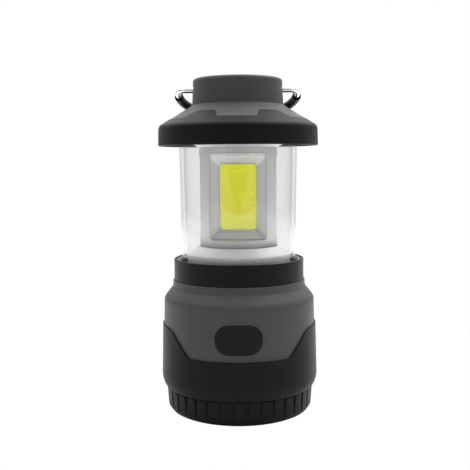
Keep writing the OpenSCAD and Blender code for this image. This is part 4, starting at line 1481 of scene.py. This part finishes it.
def make_lights():
    """A softbox above each side, the right one stronger."""
    size, aim = 0.8, Vector((0, 0, 0.12))
    for name, side, power in (("left_softbox", -0.5, 8.0), ("right_softbox", 0.5, 14.0)):
        light = bpy.data.lights.new(name, "AREA")
        light.shape, light.size, light.size_y, light.energy = "RECTANGLE", size, size, power
        obj = add_object(name, light)
        obj.location = (side, 0.1, 1.15)
        obj.rotation_euler = (aim - obj.location).to_track_quat("-Z", "Y").to_euler()


def make_camera():
    """The camera, in front and tipped down a little."""
    data = bpy.data.cameras.new("camera")
    data.lens, data.sensor_width = 59.63, 36
    obj = add_object("camera", data)
    place = Matrix.Translation((-0.00223, -0.4722, 0.1504))
    orbit, pitch, roll = (math.radians(a) for a in (0.8, 90 - 5.384, -0.441))
    tipped = place @ Matrix.Rotation(pitch, 4, "X") @ Matrix.Rotation(roll, 4, "Z")
    obj.matrix_world = Matrix.Rotation(orbit, 4, "Z") @ tipped
    bpy.context.scene.camera = obj


# ---- Settings, operators and panel ----


def length(name, description, default, low, high):
    """A setting for a length in millimetres."""
    words = {"name": name, "description": description + ", in millimetres"}
    return FloatProperty(**words, default=default, min=low, max=high, precision=2)


def count(name, description, default, low, high):
    """A setting for a number of like things."""
    return IntProperty(name=name, description=description, default=default, min=low, max=high)


def colour(name, description, default):
    """A setting for a colour."""
    words = {"name": name, "description": description}
    return FloatVectorProperty(**words, default=default, min=0, max=1, size=3, subtype="COLOR")


class LanternSizes(bpy.types.PropertyGroup):
    """Small sizes of the look, in millimetres, and the counts of what repeats."""

    button_gap: length("Button gap", "Gap round the power button", 0.16, 0.1, 0.5)
    edge_softness: length("Rubber edge", "Radius of the rubber's cut edges", 0.3, 0.1, 0.6)
    groove_depth: length("Groove depth", "Depth of the cap's grooves", 1.2, 0.4, 1.4)
    groove_width: length("Groove width", "Width of the cap's grooves", 1.6, 0.6, 2.0)
    lip_round: length("Lip radius", "Radius of the collar's outer lip", 1.1, 0.3, 1.3)
    bead_width: length("Bead width", "Width of the raised line round each window", 0.9, 0.4, 1.5)
    bead_height: length("Bead height", "Height of the raised line round each window", 0.3, 0.1, 0.5)
    frame_line: length("Frame line", "Width of the sunk line inside each window", 0.4, 0.2, 0.9)
    dam_width: length("Dam width", "Width of the pale edge of a lamp", 0.5, 0.3, 1.2)
    pin_hole: length("Pin hole", "Diameter of the bail's holes in the neck", 3.56, 3.5, 4.0)
    rib_count: count("Ribs", "Grip ribs round the cap", 36, 12, 60)
    chips_across: count("Chips across", "Chips in each row of a lamp", 5, 2, 8)
    chips_up: count("Chips up", "Rows of chips in a lamp", 6, 2, 10)


class LanternColours(bpy.types.PropertyGroup):
    """The main colours, in scene-linear light."""

    grey: colour("Grey", "Colour of the grey plastic", (0.042, 0.0423, 0.0438))
    rubber: colour("Black", "Colour of the black rubber and plastic", (0.0038, 0.0038, 0.0040))
    silver: colour("Silver", "Colour of the silver plating", (0.555, 0.556, 0.558))
    clear: colour("Clear", "Light that a face of the globe lets through", (0.983, 0.984, 0.982))
    phosphor: colour("Phosphor", "Colour of the lamps' gel", (0.78, 0.77, 0.03))


def made(pieces):
    """The end of an operator, which stops the script where a piece is empty."""
    for piece in pieces if isinstance(pieces, list) else [pieces]:
        if not piece.data.polygons:
            raise RuntimeError(f"{piece.name} has no faces")
    return {"FINISHED"}


class LANTERN_OT_base_wall(bpy.types.Operator):
    """Make the grey wall of the base, with the button's opening and the threaded spigot"""

    bl_idname, bl_label = "lantern.base_wall", "Base wall"

    def execute(self, context):
        return made(make_base_wall(context.scene.lantern_sizes))


class LANTERN_OT_sleeve(bpy.types.Operator):
    """Make the rubber sleeve with its two windows"""

    bl_idname, bl_label = "lantern.sleeve", "Rubber sleeve"

    def execute(self, context):
        return made(make_sleeve(context.scene.lantern_sizes))


class LANTERN_OT_cap(bpy.types.Operator):
    """Make the ribbed screw cap"""

    bl_idname, bl_label = "lantern.cap", "Screw cap"

    def execute(self, context):
        return made(make_cap(context.scene.lantern_sizes))


class LANTERN_OT_button(bpy.types.Operator):
    """Make the power button"""

    bl_idname, bl_label = "lantern.button", "Power button"

    def execute(self, context):
        return made(make_button())


class LANTERN_OT_collar(bpy.types.Operator):
    """Make the collar and the ring that clamps the globe"""

    bl_idname, bl_label = "lantern.collar", "Collar and clamp ring"

    def execute(self, context):
        return made([make_collar(context.scene.lantern_sizes), make_clamp_ring()])


class LANTERN_OT_globe(bpy.types.Operator):
    """Make the clear globe"""

    bl_idname, bl_label = "lantern.globe", "Globe"

    def execute(self, context):
        return made(make_globe())


class LANTERN_OT_reflectors(bpy.types.Operator):
    """Make the silver cone and the silver bell"""

    bl_idname, bl_label = "lantern.reflectors", "Reflectors"

    def execute(self, context):
        return made([make_lower_cone(), make_upper_bell()])


class LANTERN_OT_post(bpy.types.Operator):
    """Make the silver post with its three windows"""

    bl_idname, bl_label = "lantern.post", "Post"

    def execute(self, context):
        return made(make_post(context.scene.lantern_sizes))


class LANTERN_OT_lamps(bpy.types.Operator):
    """Make the three lamps"""

    bl_idname, bl_label = "lantern.lamps", "Lamps"

    def execute(self, context):
        return made(make_lamps(context.scene.lantern_sizes))


class LANTERN_OT_head(bpy.types.Operator):
    """Make the grey head, its rubber brim and the screws under it"""

    bl_idname, bl_label = "lantern.head", "Head"

    def execute(self, context):
        sizes = context.scene.lantern_sizes
        return made([make_head(sizes), make_brim(sizes), make_brim_screws()])


class LANTERN_OT_bail(bpy.types.Operator):
    """Make the wire bail and its rubber grip"""

    bl_idname, bl_label = "lantern.bail", "Bail"

    def execute(self, context):
        return made([make_bail_wire(), make_bail_grip()])


class LANTERN_OT_inside(bpy.types.Operator):
    """Give the parts inside their finishes"""

    bl_idname, bl_label = "lantern.inside", "Parts inside"

    def execute(self, context):
        dress_the_rest()
        return {"FINISHED"}


class LANTERN_OT_stage(bpy.types.Operator):
    """Make the floor, the light and the camera"""

    bl_idname, bl_label = "lantern.stage", "Stage"

    def execute(self, context):
        make_floor()
        make_world()
        make_lights()
        make_camera()
        return {"FINISHED"}


OPERATORS = (
    LANTERN_OT_base_wall,
    LANTERN_OT_sleeve,
    LANTERN_OT_cap,
    LANTERN_OT_button,
    LANTERN_OT_collar,
    LANTERN_OT_globe,
    LANTERN_OT_reflectors,
    LANTERN_OT_post,
    LANTERN_OT_lamps,
    LANTERN_OT_head,
    LANTERN_OT_bail,
    LANTERN_OT_inside,
    LANTERN_OT_stage,
)


class LANTERN_PT_panel(bpy.types.Panel):
    """The lantern's settings and steps"""

    bl_idname, bl_label = "LANTERN_PT_panel", "Camping Lantern"
    bl_space_type, bl_region_type, bl_category = "VIEW_3D", "UI", "Lantern"

    def draw(self, context):
        column = self.layout.column()
        for group in (context.scene.lantern_sizes, context.scene.lantern_colours):
            for name in group.__annotations__:
                column.prop(group, name)
        for operator in OPERATORS:
            column.operator(operator.bl_idname)


CLASSES = (LanternSizes, LanternColours, *OPERATORS, LANTERN_PT_panel)


def register():
    """Registers the classes and puts the settings on the scene."""
    for cls in CLASSES:
        bpy.utils.register_class(cls)
    bpy.types.Scene.lantern_sizes = PointerProperty(type=LanternSizes)
    bpy.types.Scene.lantern_colours = PointerProperty(type=LanternColours)


def unregister():
    """Takes the settings and the classes away again."""
    del bpy.types.Scene.lantern_colours
    del bpy.types.Scene.lantern_sizes
    for cls in reversed(CLASSES):
        bpy.utils.unregister_class(cls)


def main():
    """Registers the add-on, makes every piece in order and keeps the sizes."""
    register()
    for operator in OPERATORS:
        group, name = operator.bl_idname.split(".")
        result = getattr(getattr(bpy.ops, group), name)()
        if result != {"FINISHED"}:
            raise RuntimeError(f"{operator.bl_idname} did not finish")
    bpy.context.scene.view_settings.view_transform = "Standard"
    bpy.context.view_layer.update()


if __name__ == "__main__":
    main()
